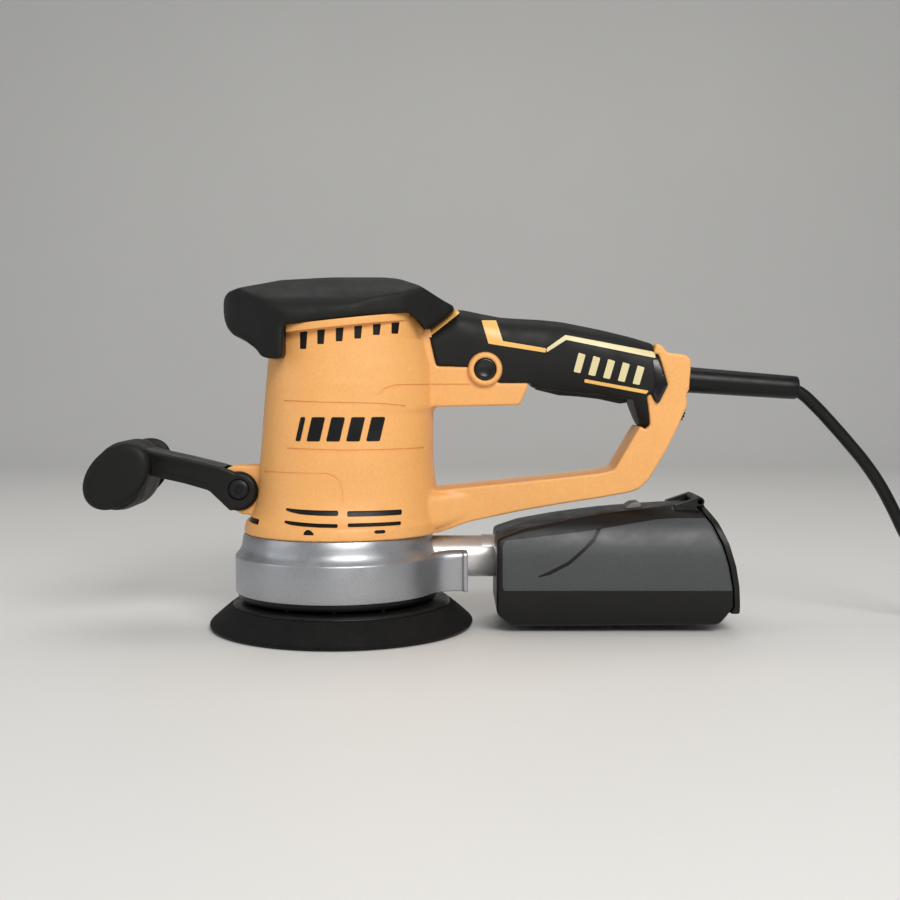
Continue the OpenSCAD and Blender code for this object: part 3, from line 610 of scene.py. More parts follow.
# ------------------------------------------------------------------ strain relief boot
tilt = Matrix.Rotation(math.radians(4.2), 3, "Y")
prof = [(3.6, 0)]
r0, r1, LN = 7.35, 6.6, 62.0
prof += [(6.2, -3), (r0, -2)]
for k in range(1, 12):
    h = LN * k / 12.5
    prof.append((r0 + (r1 - r0) * h / LN, h))
prof += [(r1, LN - 1.5), (r1 - 0.3, LN - 0.4), (r1 - 1.0, LN), (3.6, LN)]
boot = lathe("boot", prof, (198, 0, 140), "X", 64, tilt)
collar = lathe("collar", [(3.6, 186), (7.2, 186), (7.4, 186.3), (7.4, 189), (9.0, 189), (9.2, 189.3), (9.2, 192.2), (9.0, 192.5), (7.4, 192.5), (7.4, 199.5), (3.6, 199.5)],
               (0, 0, 140), "X", 64)
boot = join("boot_all", boot, collar)
finish(boot, "cord_boot", "housing", RUBBER, ("strain_relief",), 40)

# ------------------------------------------------------------------ outlines (X, Z)
AX = -2.0
lower_bar = [(36, 54), (56.5, 54.5), (73, 60.5), (101, 66.5), (123.5, 70.5), (146, 74), (162.5, 77), (168, 79),
             (173.5, 84.5), (182, 98.5), (190, 115), (194.5, 126), (194, 132.5), (195.5, 134.5), (196.5, 151), (194, 154),
             (183, 155.5), (180.5, 159), (176.5, 161), (175.5, 154), (178, 155), (183, 137.5), (177.5, 126), (174, 133.5),
             (171.5, 131), (174, 115), (171, 112), (168.5, 115), (154, 90), (145.5, 88), (123.5, 85.5), (90, 82), (54.5, 78.5), (36, 78)]
upper_bar = [(36, 124), (54.5, 125), (101, 126), (106.5, 138.5), (89, 138.5), (87, 141), (72, 147.5), (54.5, 148),
             (50.5, 165), (44, 173), (36, 170)]
grip_side = [(49.5, 167), (66.5, 180), (79, 177.5), (90.5, 175), (113, 174), (124.5, 173), (147.5, 168.5), (170, 163),
             (176.5, 161), (175.5, 154), (178, 155), (183, 137.5), (177.5, 126), (174, 133.5), (171.5, 131), (174, 115), (171, 112),
             (168.5, 115), (164, 129), (146, 131.5), (123.5, 133.5), (109.5, 135.5), (106.5, 138.5), (89, 138.5), (87, 141),
             (72, 147.5), (54.5, 148), (50.5, 165)]
lower_cavity = [(44, 58), (57, 58.5), (73, 64), (101, 70), (123.5, 74), (146, 77.5), (162, 80.5), (166, 82.5), (171, 87),
                (179, 100), (187, 116), (191, 127), (190.5, 135), (177, 135), (178.5, 124), (177, 114), (171.5, 113), (157.5, 89.5),
                (146, 85), (123.5, 82.5), (90, 79), (44, 75.5)]
upper_cavity = [(44, 128), (99, 129), (104, 141.5), (112, 139.5), (123.5, 137), (146, 135), (164, 132.5), (177, 134), (185, 137),
                (192.5, 140), (193, 150), (186, 152), (180, 152.5), (174, 158), (147, 165), (124, 169.5), (113, 171), (90, 172),
                (79, 174), (67, 176), (54, 166.5), (50, 150)]
palm_side = [(-65.8, 181.5), (-64, 186.4), (-60.2, 188.8), (-50, 191.0), (-43, 192.6), (-32, 195.4), (0, 198), (22, 198), (33.5, 196.5), (45, 192),
             (59, 183.5), (66.5, 180), (49.5, 167), (44, 173), (39.5, 177), (-26, 170), (-27.2, 170), (-27.2, 152.6), (-29, 151.6),
             (-36, 151.6), (-39.8, 152.8), (-42.6, 156.8), (-48.8, 161.0), (-57, 164.6), (-61.4, 168.6), (-64.4, 174.2)]
JOINTS = [(-39.5, 77), (-35.5, 144), (48, 70), (47, 133), (101, 75.5), (150, 82), (178, 107.5), (62, 158), (152, 158), (98, 151)]
LOCK = (81.5, 146)
LUG = (-57, 78.5)
DIAL = (188, 122.2)


def interp(tab, x, col):
    xs = [t[0] for t in tab]
    return float(np.interp(x, xs, [t[col] for t in tab]))


# ------------------------------------------------------------------ housing
TW = [  # z, front a, rear a, half width, exponent
    (54, 53.2, 58.5, 53.0, 2.05), (57, 53.0, 58.5, 52.8, 2.05), (60.5, 52.0, 58.3, 52.0, 2.1), (63, 49.5, 58.0, 49.4, 2.1), (66, 47.5, 57.7, 47.6, 2.15),
    (70, 46.0, 57.3, 46.2, 2.2), (76, 44.7, 56.7, 45.0, 2.25), (84, 44.0, 55.6, 44.2, 2.3), (94, 43.8, 54.5, 43.8, 2.3),
    (122, 41.4, 54.5, 41.8, 2.3), (125, 41.2, 56.5, 41.6, 2.3), (148, 39.1, 56.5, 40.0, 2.3), (153, 38.6, 55.0, 39.6, 2.3), (163, 38.6, 52.4, 39.0, 2.3)]


def tower_ring(z, af, ar, b, n, N=128):
    e = 2 / n
    ring = []
    for k in range(N):
        t = 2 * math.pi * (k + 0.5) / N
        c, s = math.cos(t), math.sin(t)
        x = (ar if c > 0 else af) * math.copysign(abs(c) ** e, c)
        y = b * math.copysign(abs(s) ** e, s)
        ring.append((AX + x, y, z))
    return ring


body = loft("tower", [tower_ring(*t) for t in TW])
# head below the palm grip, cut by the slanted ledge line
head = loft("head", [tower_ring(z, 38.6, 50, 39.2, 2.3) for z in (160, 180)])
meet(head, prism_y("hm", [(-28.5, 158), (52, 158), (50.5, 165), (44, 173), (39.5, 177), (-26, 170), (-28.5, 170)], -60, 60))
lip = loft("lip", [tower_ring(z, 43.4, 48, 43.8, 2.3) for z in (160, 180)])
meet(lip, prism_y("lm", [(-26.4, 165.9), (33, 172.2), (41.5, 173.2), (39.5, 176.9), (-26.4, 169.8)], -60, 60))
bevel(lip, 0.7, 3, 50)
# shoulder that runs from the tower face into the upper bar
shoulder = loft("shoulder", [tower_ring(z, 30, ar, b, 2.3) for z, ar, b in ((126, 54.4, 41.2), (138, 54.4, 41.0), (147, 54.4, 39.6), (158, 53.0, 36.6))])
bar_lo = bevel(prism_y("lo", fillet(lower_bar, 2.2, 4), -16, 16), 5.6, 5, 60)
bar_up = bevel(prism_y("up", fillet(upper_bar, 1.6, 3), -17, 17), 2.4, 3, 60)
lug = bevel(prism_y("lug", fillet([(-64.5, 90), (-60.5, 91.7), (-42, 91.7), (-42, 64), (-56, 63.8), (-63, 68), (-66.5, 78), (-66.5, 86)], 3, 4), -9, 9), 1.0, 2, 60)
# neck between the tower and the lower bar, a soft swelling


def round_ring(x, hw, z0, z1, n=4.5, N=56):
    e = 2 / n
    return [(x, hw * math.copysign(abs(math.cos(t)) ** e, math.cos(t)), (z0 + z1) / 2 + (z1 - z0) / 2 * math.copysign(abs(math.sin(t)) ** e, math.sin(t)))
            for t in [2 * math.pi * (k + 0.5) / N for k in range(N)]]


web = loft("web", [round_ring(x, hw, a, b) for x, hw, a, b in
                   ((30, 33, 54.6, 77.6), (40, 28, 54.8, 77.8), (48, 23.2, 55, 78), (56, 19.8, 55.4, 78.4), (64, 17.6, 57.6, 79.2), (74, 16.2, 61.4, 80.4), (88, 15.6, 64.2, 81.4))])
outer = join("outer", body, head, shoulder, bar_lo, bar_up, lug, web)
remesh(outer, 0.8, 6)
fuse(outer, lip)

# cutters that follow the skin
skin = offset(outer, "skin", -0.6)
bands = []
for s in (-1, 1):
    y0, y1 = (-60, -20) if s < 0 else (20, 60)
    bands.append(prism_y("g", [(-28, 128.1), (-7.6, 127.1), (22.4, 126.5), (37.4, 125.2), (37.4, 126.4), (22.4, 127.9), (-7.6, 128.5), (-28, 129.3)], y0, y1))
    bands.append(prism_y("g", [(-26, 102.3), (5, 101.3), (49, 101.8), (49, 103.0), (5, 102.7), (-26, 103.6)], y0, y1))
    y2, y3 = (-60, -12) if s < 0 else (12, 60)
    bands.append(prism_y("g", [(24, 131.5), (27, 134.6), (32.6, 136.5), (41, 136.7), (73, 136.7), (73, 137.9), (41, 137.9), (32.0, 137.6), (25.9, 135.6), (22.8, 132.3)], y2, y3))
grooves = join("grooves", *bands)
cut(grooves, skin)
skin2 = offset(outer, "skin2", -0.4)
inset_a = offset(outer, "inset_a", -1.0)
inset_b = offset(outer, "inset_b", -1.9)
bands = []
for s in (-1, 1):
    y0, y1 = (-60, -20) if s < 0 else (20, 60)
    bands.append(prism_y("g", [(-40, 89.1), (-5.3, 89.1), (-0.9, 88.0), (2.0, 85.1), (3.2, 81.2), (3.7, 74), (4.8, 74), (4.3, 81.5), (3.0, 85.9), (-0.4, 89.1), (-5.2, 90.3), (-40, 90.3)], y0, y1))
fine_grooves = join("fine_grooves", *bands)
cut(fine_grooves, skin2)
# bars that stand where the maker's word was: a plain row of slanted strokes
strokes = []
for s in (-1, 1):
    y0, y1 = (-60, -20) if s < 0 else (20, 60)
    x = -21.5
    for wdt in (5.0, 9.5, 9.5, 9.5, 9.5):
        lean = 3.0
        strokes.append(prism_y("st", fillet([(x, 107.2), (x + wdt - 2.2, 107.2), (x + wdt - 2.2 + lean, 120.2), (x + lean, 120.2)], 0.8, 2), y0, y1))
        x += wdt + 1.2
strokes = join("strokes", *strokes)
plate("strokes", outer, strokes, 0.25, 0.7)

cut(outer, grooves, fine_grooves)
# motor space, bar spaces, bearing seat
cut(outer,
    lathe("in1", [(0, 53), (41, 53), (41, 94), (38, 130), (35.9, 151), (35.2, 158.5), (15, 158.5), (15, 150.5), (11, 150.5), (11, 158.5), (6, 158.5), (6, 160), (0, 160)], (AX, 0, 0), "Z", 96))
inner_rear = prism_y("in2", [(22, 57.5), (51.5, 57.5), (51.5, 76), (49.5, 90), (49.5, 122), (51.5, 128), (51.5, 146), (47.5, 158), (22, 158)], -45, 45)
plan = loft("in2p", [[(x, y, z) for x, y in ((0, 34), (13, 33.5), (34, 26), (47, 18), (52, 10), (52, -10), (47, -18), (34, -26), (13, -33.5), (0, -34))] for z in (50, 170)])
meet(inner_rear, plan)
head_in = zcyl("in3", AX, 0, 35.8, 161.5, 176, 96)
meet(head_in, prism_y("in3b", [(-25, 161.5), (46, 161.5), (46, 165), (40, 171.5), (37, 173.5), (-25, 167)], -40, 40))
cut(outer, inner_rear, head_in, prism_y("in4", lower_cavity, -13.2, 13.2), prism_y("in5", upper_cavity, -14.4, 14.4))
# vents, slots and holes
holes = []
row1 = [(-26.9, 70.5), (-26.2, 71.0), (-19.3, 70.6), (-8, 70.3), (1.4, 70.2), (2.1, 69.5), (2.1, 67.9), (1.2, 67.3), (-8, 67.4), (-15, 67.7), (-19.3, 68.0), (-24, 68.8), (-26.6, 69.6)]
row1b = [(6.8, 69.3), (7.4, 69.9), (35.2, 69.9), (35.8, 69.3), (35.8, 67.5), (35.2, 66.9), (7.4, 66.9), (6.8, 67.5)]
row2 = [(-27.4, 63.9), (-26.8, 64.5), (-17.2, 63.9), (-8, 63.5), (1.6, 63.3), (2.1, 62.8), (2.1, 61.8), (1.5, 61.3), (-8, 61.4), (-17.2, 61.8), (-24, 62.3), (-27.2, 63.1)]
row2b = [(7.3, 63.1), (7.8, 63.6), (35, 63.6), (35.4, 63.1), (35.4, 62.1), (35, 61.6), (7.8, 61.6), (7.3, 62.1)]
arch = [(-16.2, 57.5), (-10.6, 57.5), (-10.6, 58.4), (-11.6, 59.6), (-13.0, 60.4), (-14.4, 60.4), (-15.4, 59.6), (-16.2, 58.4)]
oval = [(21.2, 58.8), (22.2, 57.9), (26.6, 57.9), (27.6, 58.8), (26.6, 59.8), (22.2, 59.8)]
for s in (-1, 1):
    y0, y1 = (-62, -30) if s < 0 else (30, 62)
    for pts in (row1, row1b, row2, row2b):
        holes.append(prism_y("v", pts, y0, y1))
    for k, (cx, cz) in enumerate([(-17.0, 160.6), (-7.4, 162.0), (2.6, 163.4), (12.5, 164.9), (22.4, 166.4), (32.2, 167.7)]):
        zt = 166.3 + 1.04 * k
        zb = (156.8, 159.4, 160.9, 162.4, 164.4, 165.2)[k]
        yi = 33 if k < 3 else 24
        holes.append(prism_y("v", fillet([(cx - 2.0, zb), (cx + 1.5, zb), (cx + 2.3, zt + 0.1), (cx - 2.0, zt - 0.3)], 0.4, 2), -50 if s < 0 else yi, -yi if s < 0 else 50))
    for pts in (arch, oval):
        holes.append(prism_y("v", fillet(pts, 0.4, 2), -62 if s < 0 else 43, -43 if s < 0 else 62))
holes.append(prism_y("slit", fillet([(-64, 60.9), (-43, 60.6), (-43, 63.5), (-64, 63.2)], 0.8, 3), -32, 32))
holes = join("holes", *holes)
# copy of the vent holes, later the dark fill that paints the shade inside the vents
screens = copy(holes, "screens")
cut(outer, holes)
bores = [ycyl("b", LOCK[0], LOCK[1], 6.3, -30, -13, 48), ycyl("b", LUG[0], LUG[1], 3.05, -14, 14, 32)]
for x, z in JOINTS[:7]:
    bores.append(ycyl("b", x, z, 3.75, 9.0, 62, 40))
bores.append(box("b", 176, 199, -4.2, 4.2, DIAL[1] - 8.3, DIAL[1] + 8.3))
cut(outer, join("bores", *bores))
cut(outer, xcyl("b", 0, 140, 7.5, 183, 200, 48))
cut(outer, xcyl("b", 0, 140, 9.3, 188.8, 192.7, 48))
cut(outer, join("b", *[zcyl("b", AX + 47.5 * math.cos(math.radians(a)), 47.5 * math.sin(math.radians(a)), 2.05, 50, 60.5, 24) for a in (45, 135, 225, 315)]))
hl, hr = halve(outer)
finish(hl, "housing_shell_left", "housing", ORANGE, ("housing_left",), 45)
finish(hr, "housing_shell_right", "housing", ORANGE, ("housing_right",), 45)
finish(strokes, "tower_bars", "housing", GLOSSBLACK, (), 35)
# painted shade: dark fill a little way inside the vents, for the shaded inside seen through them
meet(screens, inset_a)
cut(screens, inset_b)
finish(screens, "vent_screens", "housing", BLACK, (), 35)

# ring round the lock button
ring = lathe("lring", [(6.3, -14.0), (6.3, -19.7), (6.6, -20.3), (7.3, -20.7), (8.1, -20.6), (8.8, -20.1), (9.3, -19.2), (9.6, -17.8), (9.6, -14.0)], (LOCK[0], 0, LOCK[1]), "Y", 72)
finish(ring, "lock_ring", "housing", ORANGE, (), 40)
btn = lathe("lbtn", [(0, -12), (7.35, -12), (7.35, -13.9), (5.85, -13.9), (5.85, -18.7), (5.5, -19.3), (4.8, -19.5), (3.6, -19.1), (0, -18.7)], (LOCK[0], 0, LOCK[1]), "Y", 64)
finish(btn, "lock_button_cap", "lock_button", GLOSSBLACK, ("lock_button",), 40)

# ------------------------------------------------------------------ palm grip
palm = prism_y("palm", fillet(palm_side, [5, 5, 4, 5, 4, 6, 8, 8, 6, 5, 6, 5, 1, 1, 1, 1, 1, 1.2, 2, 2, 3, 4, 4, 4, 4, 4], 4), -50, 50)
arc = [(-21 + 45 * math.cos(math.radians(a)), 45 * math.sin(math.radians(a))) for a in range(90, 271, 6)]
pl = arc + [(10, -43.5), (36, -36), (56, -24), (68, -17), (68, 17), (56, 24), (36, 36), (10, 43.5)]
pl = fillet(pl, 12, 4)
meet(palm, loft("pplan", [[(x, y, z) for x, y in pl] for z in (140, 210)]))
crown = [(45.5, 168), (45.2, 172), (44.6, 177), (42.8, 181), (39.8, 184.5), (35.2, 187.7), (28, 191.5), (18, 195.2), (9, 197.4), (0, 198.1)]
meet(palm, prism_x("crown", [(45.5, 140)] + crown + [(-y, z) for y, z in crown[-2::-1]] + [(-45.5, 140)], -80, 80))
remesh(palm, 0.8, 2)
m = palm.modifiers.new("s", "SMOOTH")
m.iterations = 26
m.factor = 0.6
bake(palm)
cut(palm, zcyl("pc", AX, 0, 38.9, 140, 161.5, 96))
core = prism_y("core", [(-52, 178), (-49, 184), (-20, 188), (16, 188.5), (28, 186), (36, 182.2), (32, 180), (-26, 173.5), (-34, 173), (-45, 171)], -30, 30)
meet(core, zcyl("core2", AX, 0, 54, 150, 200, 96))
meet(core, xcyl("core3", 0, 126, 65.0, -80, 80, 96))
cut(palm, core)
finish(palm, "palm_grip_cover", "housing", SOFT, ("palm_grip",), 50)
joint = bevel(prism_y("joint", fillet([(45.5, 164), (48.8, 169.0), (50.8, 168.4), (52, 163.5)], 0.6, 2), -17.3, 17.3), 0.4, 2, 60)
finish(joint, "palm_joint_corner", "housing", ORANGE, (), 40)

# ------------------------------------------------------------------ handle grip
GT = [(46, 166, 140, 120), (56, 172, 144, 120), (66.5, 180.0, 146, 120), (79, 177.4, 141, 120), (90.5, 175.2, 137, 120), (100, 174.6, 135, 121), (113, 173.9, 133.5, 129), (124.5, 172.8, 132.5, 130),
      (147.5, 168.2, 130, 128), (164, 164.2, 124, 120), (176, 160.6, 110, 106), (186, 157, 106, 102)]


def grip_ring(x, top, bot, low, n=2.9, hw=17.8, N=72):
    c, h = (top + bot) / 2, (top - bot) / 2
    e = 2 / n
    return [(x, hw * math.copysign(abs(math.cos(t)) ** e, math.cos(t)), c + (h * math.sin(t) ** e if math.sin(t) > 0 else (low - c) * (-math.sin(t)) ** e))
            for t in [2 * math.pi * (k + 0.5) / N for k in range(N)]]


sausage = loft("sausage", [grip_ring(x, *[interp(GT, x, c) for c in (1, 2, 3)]) for x in range(46, 187, 4)])
grip = prism_y("grip", fillet([(x, z + (4 if 60 < x and z > 160 else 0)) for x, z in grip_side], 1.0, 2), -18.5, 18.5)
meet(grip, sausage)
remesh(grip, 0.7, 5)
surf = copy(grip, "surf")
gcav = prism_y("gc", upper_cavity, -14.4, 14.4)
meet(gcav, loft("gci", [grip_ring(x, interp(GT, x, 1) - 2.2, interp(GT, x, 2), interp(GT, x, 3), 2.9, 15.4) for x in range(46, 187, 4)]))
cut(grip, gcav)
cut(grip, prism_y("gt", [(108.6, 128), (163.8, 120), (163.8, 146), (108.6, 146)], -8.5, 8.5))
cut(grip, lathe("gr", [(0, -30), (9.65, -30), (9.65, -5), (0, -5)], (LOCK[0], 0, LOCK[1]), "Y", 64))
cut(grip, join("gs", *[ycyl("b", x, z, 3.75, 9.0, 40, 40) for x, z in JOINTS[7:]]))
gl, gr = halve(grip)
finish(gl, "handle_grip_cover_left", "housing", SOFT, ("handle_grip_left",), 45)
finish(gr, "handle_grip_cover_right", "housing", SOFT, ("handle_grip_right",), 45)

def both_sides(name, outlines, r=0.5):
    out = []
    for s in (-1, 1):
        y0, y1 = (-25, -6) if s < 0 else (6, 25)
        for pts in outlines:
            out.append(prism_y("t", fillet(pts, r, 2), y0, y1))
    return join(name, *out)


T1A = [(79.5, 173.2), (87.7, 173.2), (91.3, 161.6), (115.3, 157.6), (115.0, 155.2), (89.4, 159.2), (83.3, 160.2)]
T1B = [(115.7, 157.7), (126.1, 165.0), (176.2, 155.6), (176.4, 152.2), (126.5, 162.3), (115.4, 155.2)]
T2 = [(136.8, 140.6), (172.6, 134.0), (171, 132.3), (136.8, 138.7)]
T3 = [(47.4, 167.6), (64.6, 180.4), (67.6, 177.4), (50.4, 163.8)]
FACET = [(174.9, 151.2), (178.8, 151.4), (183.2, 137.3), (177.7, 126.2), (174.9, 132.3), (175.9, 140)]
bars5 = []
x = 130.6
for wdt in (6.8, 6.8, 6.8, 6.8, 6.8):
    t = (x - 130.6) / 40
    zt, zb = 155.2 - 8.6 * t, 144.6 - 8.0 * t
    bars5.append([(x, zb), (x + wdt - 3.0, zb - 0.8), (x + wdt - 0.2, zt - 1.2), (x + 2.8, zt)])
    x += 8.2
trim = plate("trim", surf, both_sides("tr", [T1A, T2]), 0.38, 0.8)
vline = plate("vline", surf, both_sides("vl", [T3], 0.8), 1.1, 0.8)
finish(vline, "palm_joint_line", "housing", TRIM, ("handle_trim",), 50)
finish(trim, "handle_stripes", "housing", TRIM, ("handle_trim",), 35)
# pale bars (print colour) and the right part of the long stripe, paler there as painted sheen
trim2 = plate("trim2", surf, both_sides("tr2", [T1B] + bars5), 0.38, 0.8)
finish(trim2, "handle_stripes_pale", "housing", PALE_TRIM_AND_SHEEN, ("handle_trim",), 35)
facet = plate("facet", surf, both_sides("fa", [FACET], 0.8), 0.5, 0.8)
finish(facet, "handle_end_facet", "housing", GLOSSBLACK, (), 35)
kill(surf)

# ------------------------------------------------------------------ trigger and dial
trig = prism_y("trig", fillet([(110.5, 134.5), (123.5, 131.3), (134, 130.6), (146, 129.2), (158, 126.6), (162, 127.2), (162, 134), (150, 137.5), (118, 140.5), (110.5, 141)], 1.2, 3), -8, 8)
bevel(trig, 1.3, 3, 60)
fuse(trig, box("tb", 128, 134, -3, 3, 133, 141.5))
cut(trig, ycyl("tp", 113.5, 138, 1.55, -12, 12, 24))
finish(trig, "trigger_paddle", "trigger", BLACK, ("trigger",), 40)


def knurled(name, r, hw, n, at):
    pts = []
    for k in range(n):
        a = 2 * math.pi * k / n
        for t, rr in ((0.0, r - 0.55), (0.28, r), (0.62, r), (0.9, r - 0.55)):
            b = a + t * 2 * math.pi / n
            pts.append((at[0] + rr * math.cos(b), at[1] + rr * math.sin(b)))
    return prism_y(name, pts, -hw, hw)


dial = knurled("dial", 7.8, 3.5, 24, DIAL)
bevel(dial, 0.25, 2, 60)
cut(dial, ycyl("dp", DIAL[0], DIAL[1], 1.55, -5, 5, 24))
finish(dial, "speed_wheel", "speed_dial", BLACK, ("speed_dial",), 35)

# ------------------------------------------------------------------ shroud and outlet
sh = [(55.8, 20.7), (57.6, 20.7), (58.2, 21.0), (58.4, 21.6), (58.4, 30), (58.4, 40.6), (58.25, 41.3), (57.9, 41.8), (57.3, 42.3), (56.2, 43.7), (55.2, 45.4), (54.7, 47.4), (54.3, 49.6), (53.8, 52.2), (53.2, 53.6), (52.4, 54.0), (30, 54),
      (30, 51), (50, 51), (54.0, 42.3), (55.4, 37), (55.4, 24), (55.8, 21.6)]
shroud = lathe("shroud", sh, (AX, 0, 0), "Z", 192)

def block_ring(x, hw, top, r, low=21.4):
    pts = fillet([(-hw, low), (hw, low), (hw, top), (-hw, top)], [0.8, 0.8, r, r], 6)
    return [(x, y, z) for y, z in pts]


blk = loft("blk", [block_ring(x, hw, top, r) for x, hw, top, r in
                   ((40, 38, 41.0, 5), (44, 35.6, 41.4, 5), (47, 31.9, 41.8, 5), (50, 27.0, 42.4, 5), (53, 22.8, 43.0, 5), (56, 19.9, 43.5, 5), (59.5, 18.0, 43.9, 5),
                    (64.5, 16.8, 44.2, 4.8), (69.0, 16.5, 44.3, 4.6), (69.25, 16.9, 44.3, 4.4), (69.5, 18.8, 44.3, 3.4), (69.8, 19.0, 44.3, 3.2), (71.2, 19.0, 44.1, 3.2), (71.8, 18.8, 43.7, 3.0), (72.0, 18.4, 43.2, 2.6))])
cut(blk, zcyl("bc", AX, 0, 55.9, 18, 41.6, 128), solver="EXACT")
cut(blk, lathe("bc2", [(0, 41), (54.4, 41), (53, 46), (52.2, 60), (0, 60)], (AX, 0, 0), "Z", 128), solver="EXACT")
fuse(shroud, blk, solver="EXACT")
cut(shroud, box("bx", 40, 69, -13.5, 13.5, 25, 41), solver="EXACT")
cut(shroud, xcyl("bt", 0, 39.1, 11.8, 45, 76, 72), solver="EXACT")
cut(shroud, join("ss", *[zcyl("b", AX + 47.5 * math.cos(math.radians(a)), 47.5 * math.sin(math.radians(a)), 2.05, 50, 56, 24) for a in (45, 135, 225, 315)]), solver="EXACT")
finish(shroud, "dust_shroud_skirt", "housing", SILVER, ("dust_shroud",), 32)
tube = lathe("tube", [(0, 80), (11, 80), (11, 108.6), (10.4, 110), (0, 110)], (0, 0, 40.5), "X", 96)
fuse(tube, lathe("tc", [(0, 48.8), (11.4, 48.8), (11.75, 49.2), (11.75, 87.0), (11.4, 87.5), (0, 87.5)], (0, 0, 39.1), "X", 128), solver="EXACT")
cut(tube, xcyl("tb", 0, 40.5, 9, 40, 112, 72), solver="EXACT")
finish(tube, "outlet_spigot", "housing", CAST, ("outlet_tube",), 35)

# ------------------------------------------------------------------ pad
def holes_pad(z0, z1):
    return join("ph", *[zcyl("p", 40 * math.cos(math.radians(30 + 60 * k)), 40 * math.sin(math.radians(30 + 60 * k)), 5, z0, z1, 40) for k in range(6)])


foam = lathe("foam", [(11, 1.55), (74.3, 1.55), (74.8, 1.7), (75, 2.05), (74.95, 2.6), (74.3, 3.6), (71.2, 6.4), (67.2, 9.8), (64.0, 12.4), (62.8, 13), (11, 13)], (0, 0, 0), "Z", 180)
cut(foam, holes_pad(0, 15), solver="EXACT")
finish(foam, "pad_foam_body", "pad", FOAM, ("foam_layer",), 40)
hook = lathe("hook", [(11, 0.0), (73.6, 0.0), (74.3, 0.3), (74.5, 0.8), (74.5, 1.5), (11, 1.5)], (0, 0, 0), "Z", 180)
cut(hook, holes_pad(-2, 3), solver="EXACT")
finish(hook, "hook_disc", "pad", HOOK, ("hook_face",), 40)
plate_ = lathe("plate", [(4.05, 13.02), (61.4, 13.02), (62, 13.4), (61.6, 14.2), (60.3, 15), (20.4, 15), (18, 16.5), (4.05, 16.5)], (0, 0, 0), "Z", 144)
for k in range(12):
    a = math.radians(30 * k)
    rb = box("rib", 17.5, 52, -0.9, 0.9, 14.8, 16.5)
    rb.data.transform(Matrix.Rotation(a, 4, "Z"))
    fuse(plate_, rb, solver="EXACT")
cut(plate_, holes_pad(12, 18), solver="EXACT")
finish(plate_, "pad_plate", "pad", BLACK, ("backing_plate",), 35)
brake = lathe("brake", [(50, 17.1), (50.8, 17.0), (55.6, 17.0), (56.3, 17.3), (56.9, 18.6), (57.2, 20.0), (57.0, 20.6), (55.7, 20.6), (55.7, 21.4), (55.3, 22), (55.3, 24), (52, 24), (50, 20)], (AX, 0, 0), "Z", 160)
finish(brake, "brake_ring", "housing", RUBBER, ("pad_brake_ring",), 35)

# ------------------------------------------------------------------ dust box
box_side = [(88, 11), (88, 52.5), (102, 57.5), (125, 62), (148, 65.5), (171, 68), (194, 70), (200, 69.5), (207, 60),
            (212, 49), (215.5, 37), (217.5, 26), (218.3, 15), (211, 4.5), (96, 4)]
box_in = [(90.5, 13), (90.5, 50.2), (102, 54.5), (125, 59), (148, 62.5), (171, 65), (194, 67), (198, 67), (203, 66),
          (230, 50), (230, 15), (218, 13), (209, 7), (97, 6.5)]


def curve_through(pts, steps=5):
    """Smooth curve through the points of a closed outline."""
    n, out = len(pts), []
    for i in range(n):
        p0, p1, p2, p3 = (Vector(pts[(i + k) % n]) for k in (-1, 0, 1, 2))
        for k in range(steps):
            t = k / steps
            out.append(tuple(0.5 * ((2 * p1) + (p2 - p0) * t + (2 * p0 - 5 * p1 + 4 * p2 - p3) * t * t + (3 * p1 - p0 - 3 * p2 + p3) * t ** 3)))
    return out


def section(w, t):
    half = [(w - 11 - t, t), (w - 6.5 - t, 3.2 + t * 0.6), (w - 3.4 - t, 8.6 + t * 0.3), (w - 1.4 - t, 16), (w - 0.4 - t, 23.5), (w - t, 31), (w - 0.1 - t, 39), (w - 0.9 - t, 46.5),
            (w - 2.6 - t, 53.2), (w - 5.2 - t, 58.6 - t * 0.3), (w - 9 - t, 63 - t * 0.6), (w - 15 - t, 66.8 - t * 0.9), (10, 69.6 - t)]
    return half + [(0, 71.2 - t)] + [(-y, z) for y, z in half[::-1]]


dbox = prism_y("dbox", fillet(box_side, [4, 2.5, 10, 20, 20, 20, 5, 3, 6, 10, 10, 10, 5, 5, 5], 4), -40, 40)
meet(dbox, prism_x("dsec", curve_through(section(33, 0)), 80, 240))
remesh(dbox, 0.85, 9)
dskin = copy(dbox, "dskin")
dsmall = offset(dbox, "dsmall", -1.0)
seam_path = [(146.5, 63.0), (144.8, 59.3), (141, 52.4), (135.5, 46.9), (127.3, 39.8), (116.4, 34.2), (110.5, 32.2)]
up, dn = [], []
for i, q in enumerate(seam_path):
    a = Vector(seam_path[max(0, i - 1)])
    b = Vector(seam_path[min(len(seam_path) - 1, i + 1)])
    d = (b - a).normalized() * (1.0 if i < len(seam_path) - 1 else 0.35)
    up.append((q[0] - d.y, q[1] + d.x))
    dn.append((q[0] + d.y, q[1] - d.x))
seam_ring = join("seam", *[prism_y("sm", up + dn[::-1], a, b) for a, b in ((-45, -15), (15, 45))])
seam_fill = copy(seam_ring, "seam_fill")
cut(seam_ring, dsmall)
plate("seam_fill", dskin, seam_fill, -0.45, 1.6)
finish(seam_fill, "dust_box_seam", "dust_box", BLACK, (), 40)
dinner = prism_y("din", box_in, -40, 40)
meet(dinner, prism_x("din2", section(33, 2.4), 80, 240))
cut(dbox, seam_ring)
cut(dbox, dinner)
cut(dbox, xcyl("dt", 0, 40.5, 13.5, 80, 95, 72))
cut(dbox, ycyl("dk", 202, 72, 3.7, -12.3, 12.3, 48))
disc = ycyl("disc", 101, 84.5, 52.9, -50, 50, 128)
dfront = copy(dbox, "dfront")
meet(dfront, disc, keep=True)
cut(dbox, disc)
sleeve = lathe("sleeve", [(11.3, 88), (13.1, 88), (13.5, 88.5), (13.5, 112), (11.3, 112)], (0, 0, 40.5), "X", 72)
dfront = join("dfront2", dfront, sleeve)


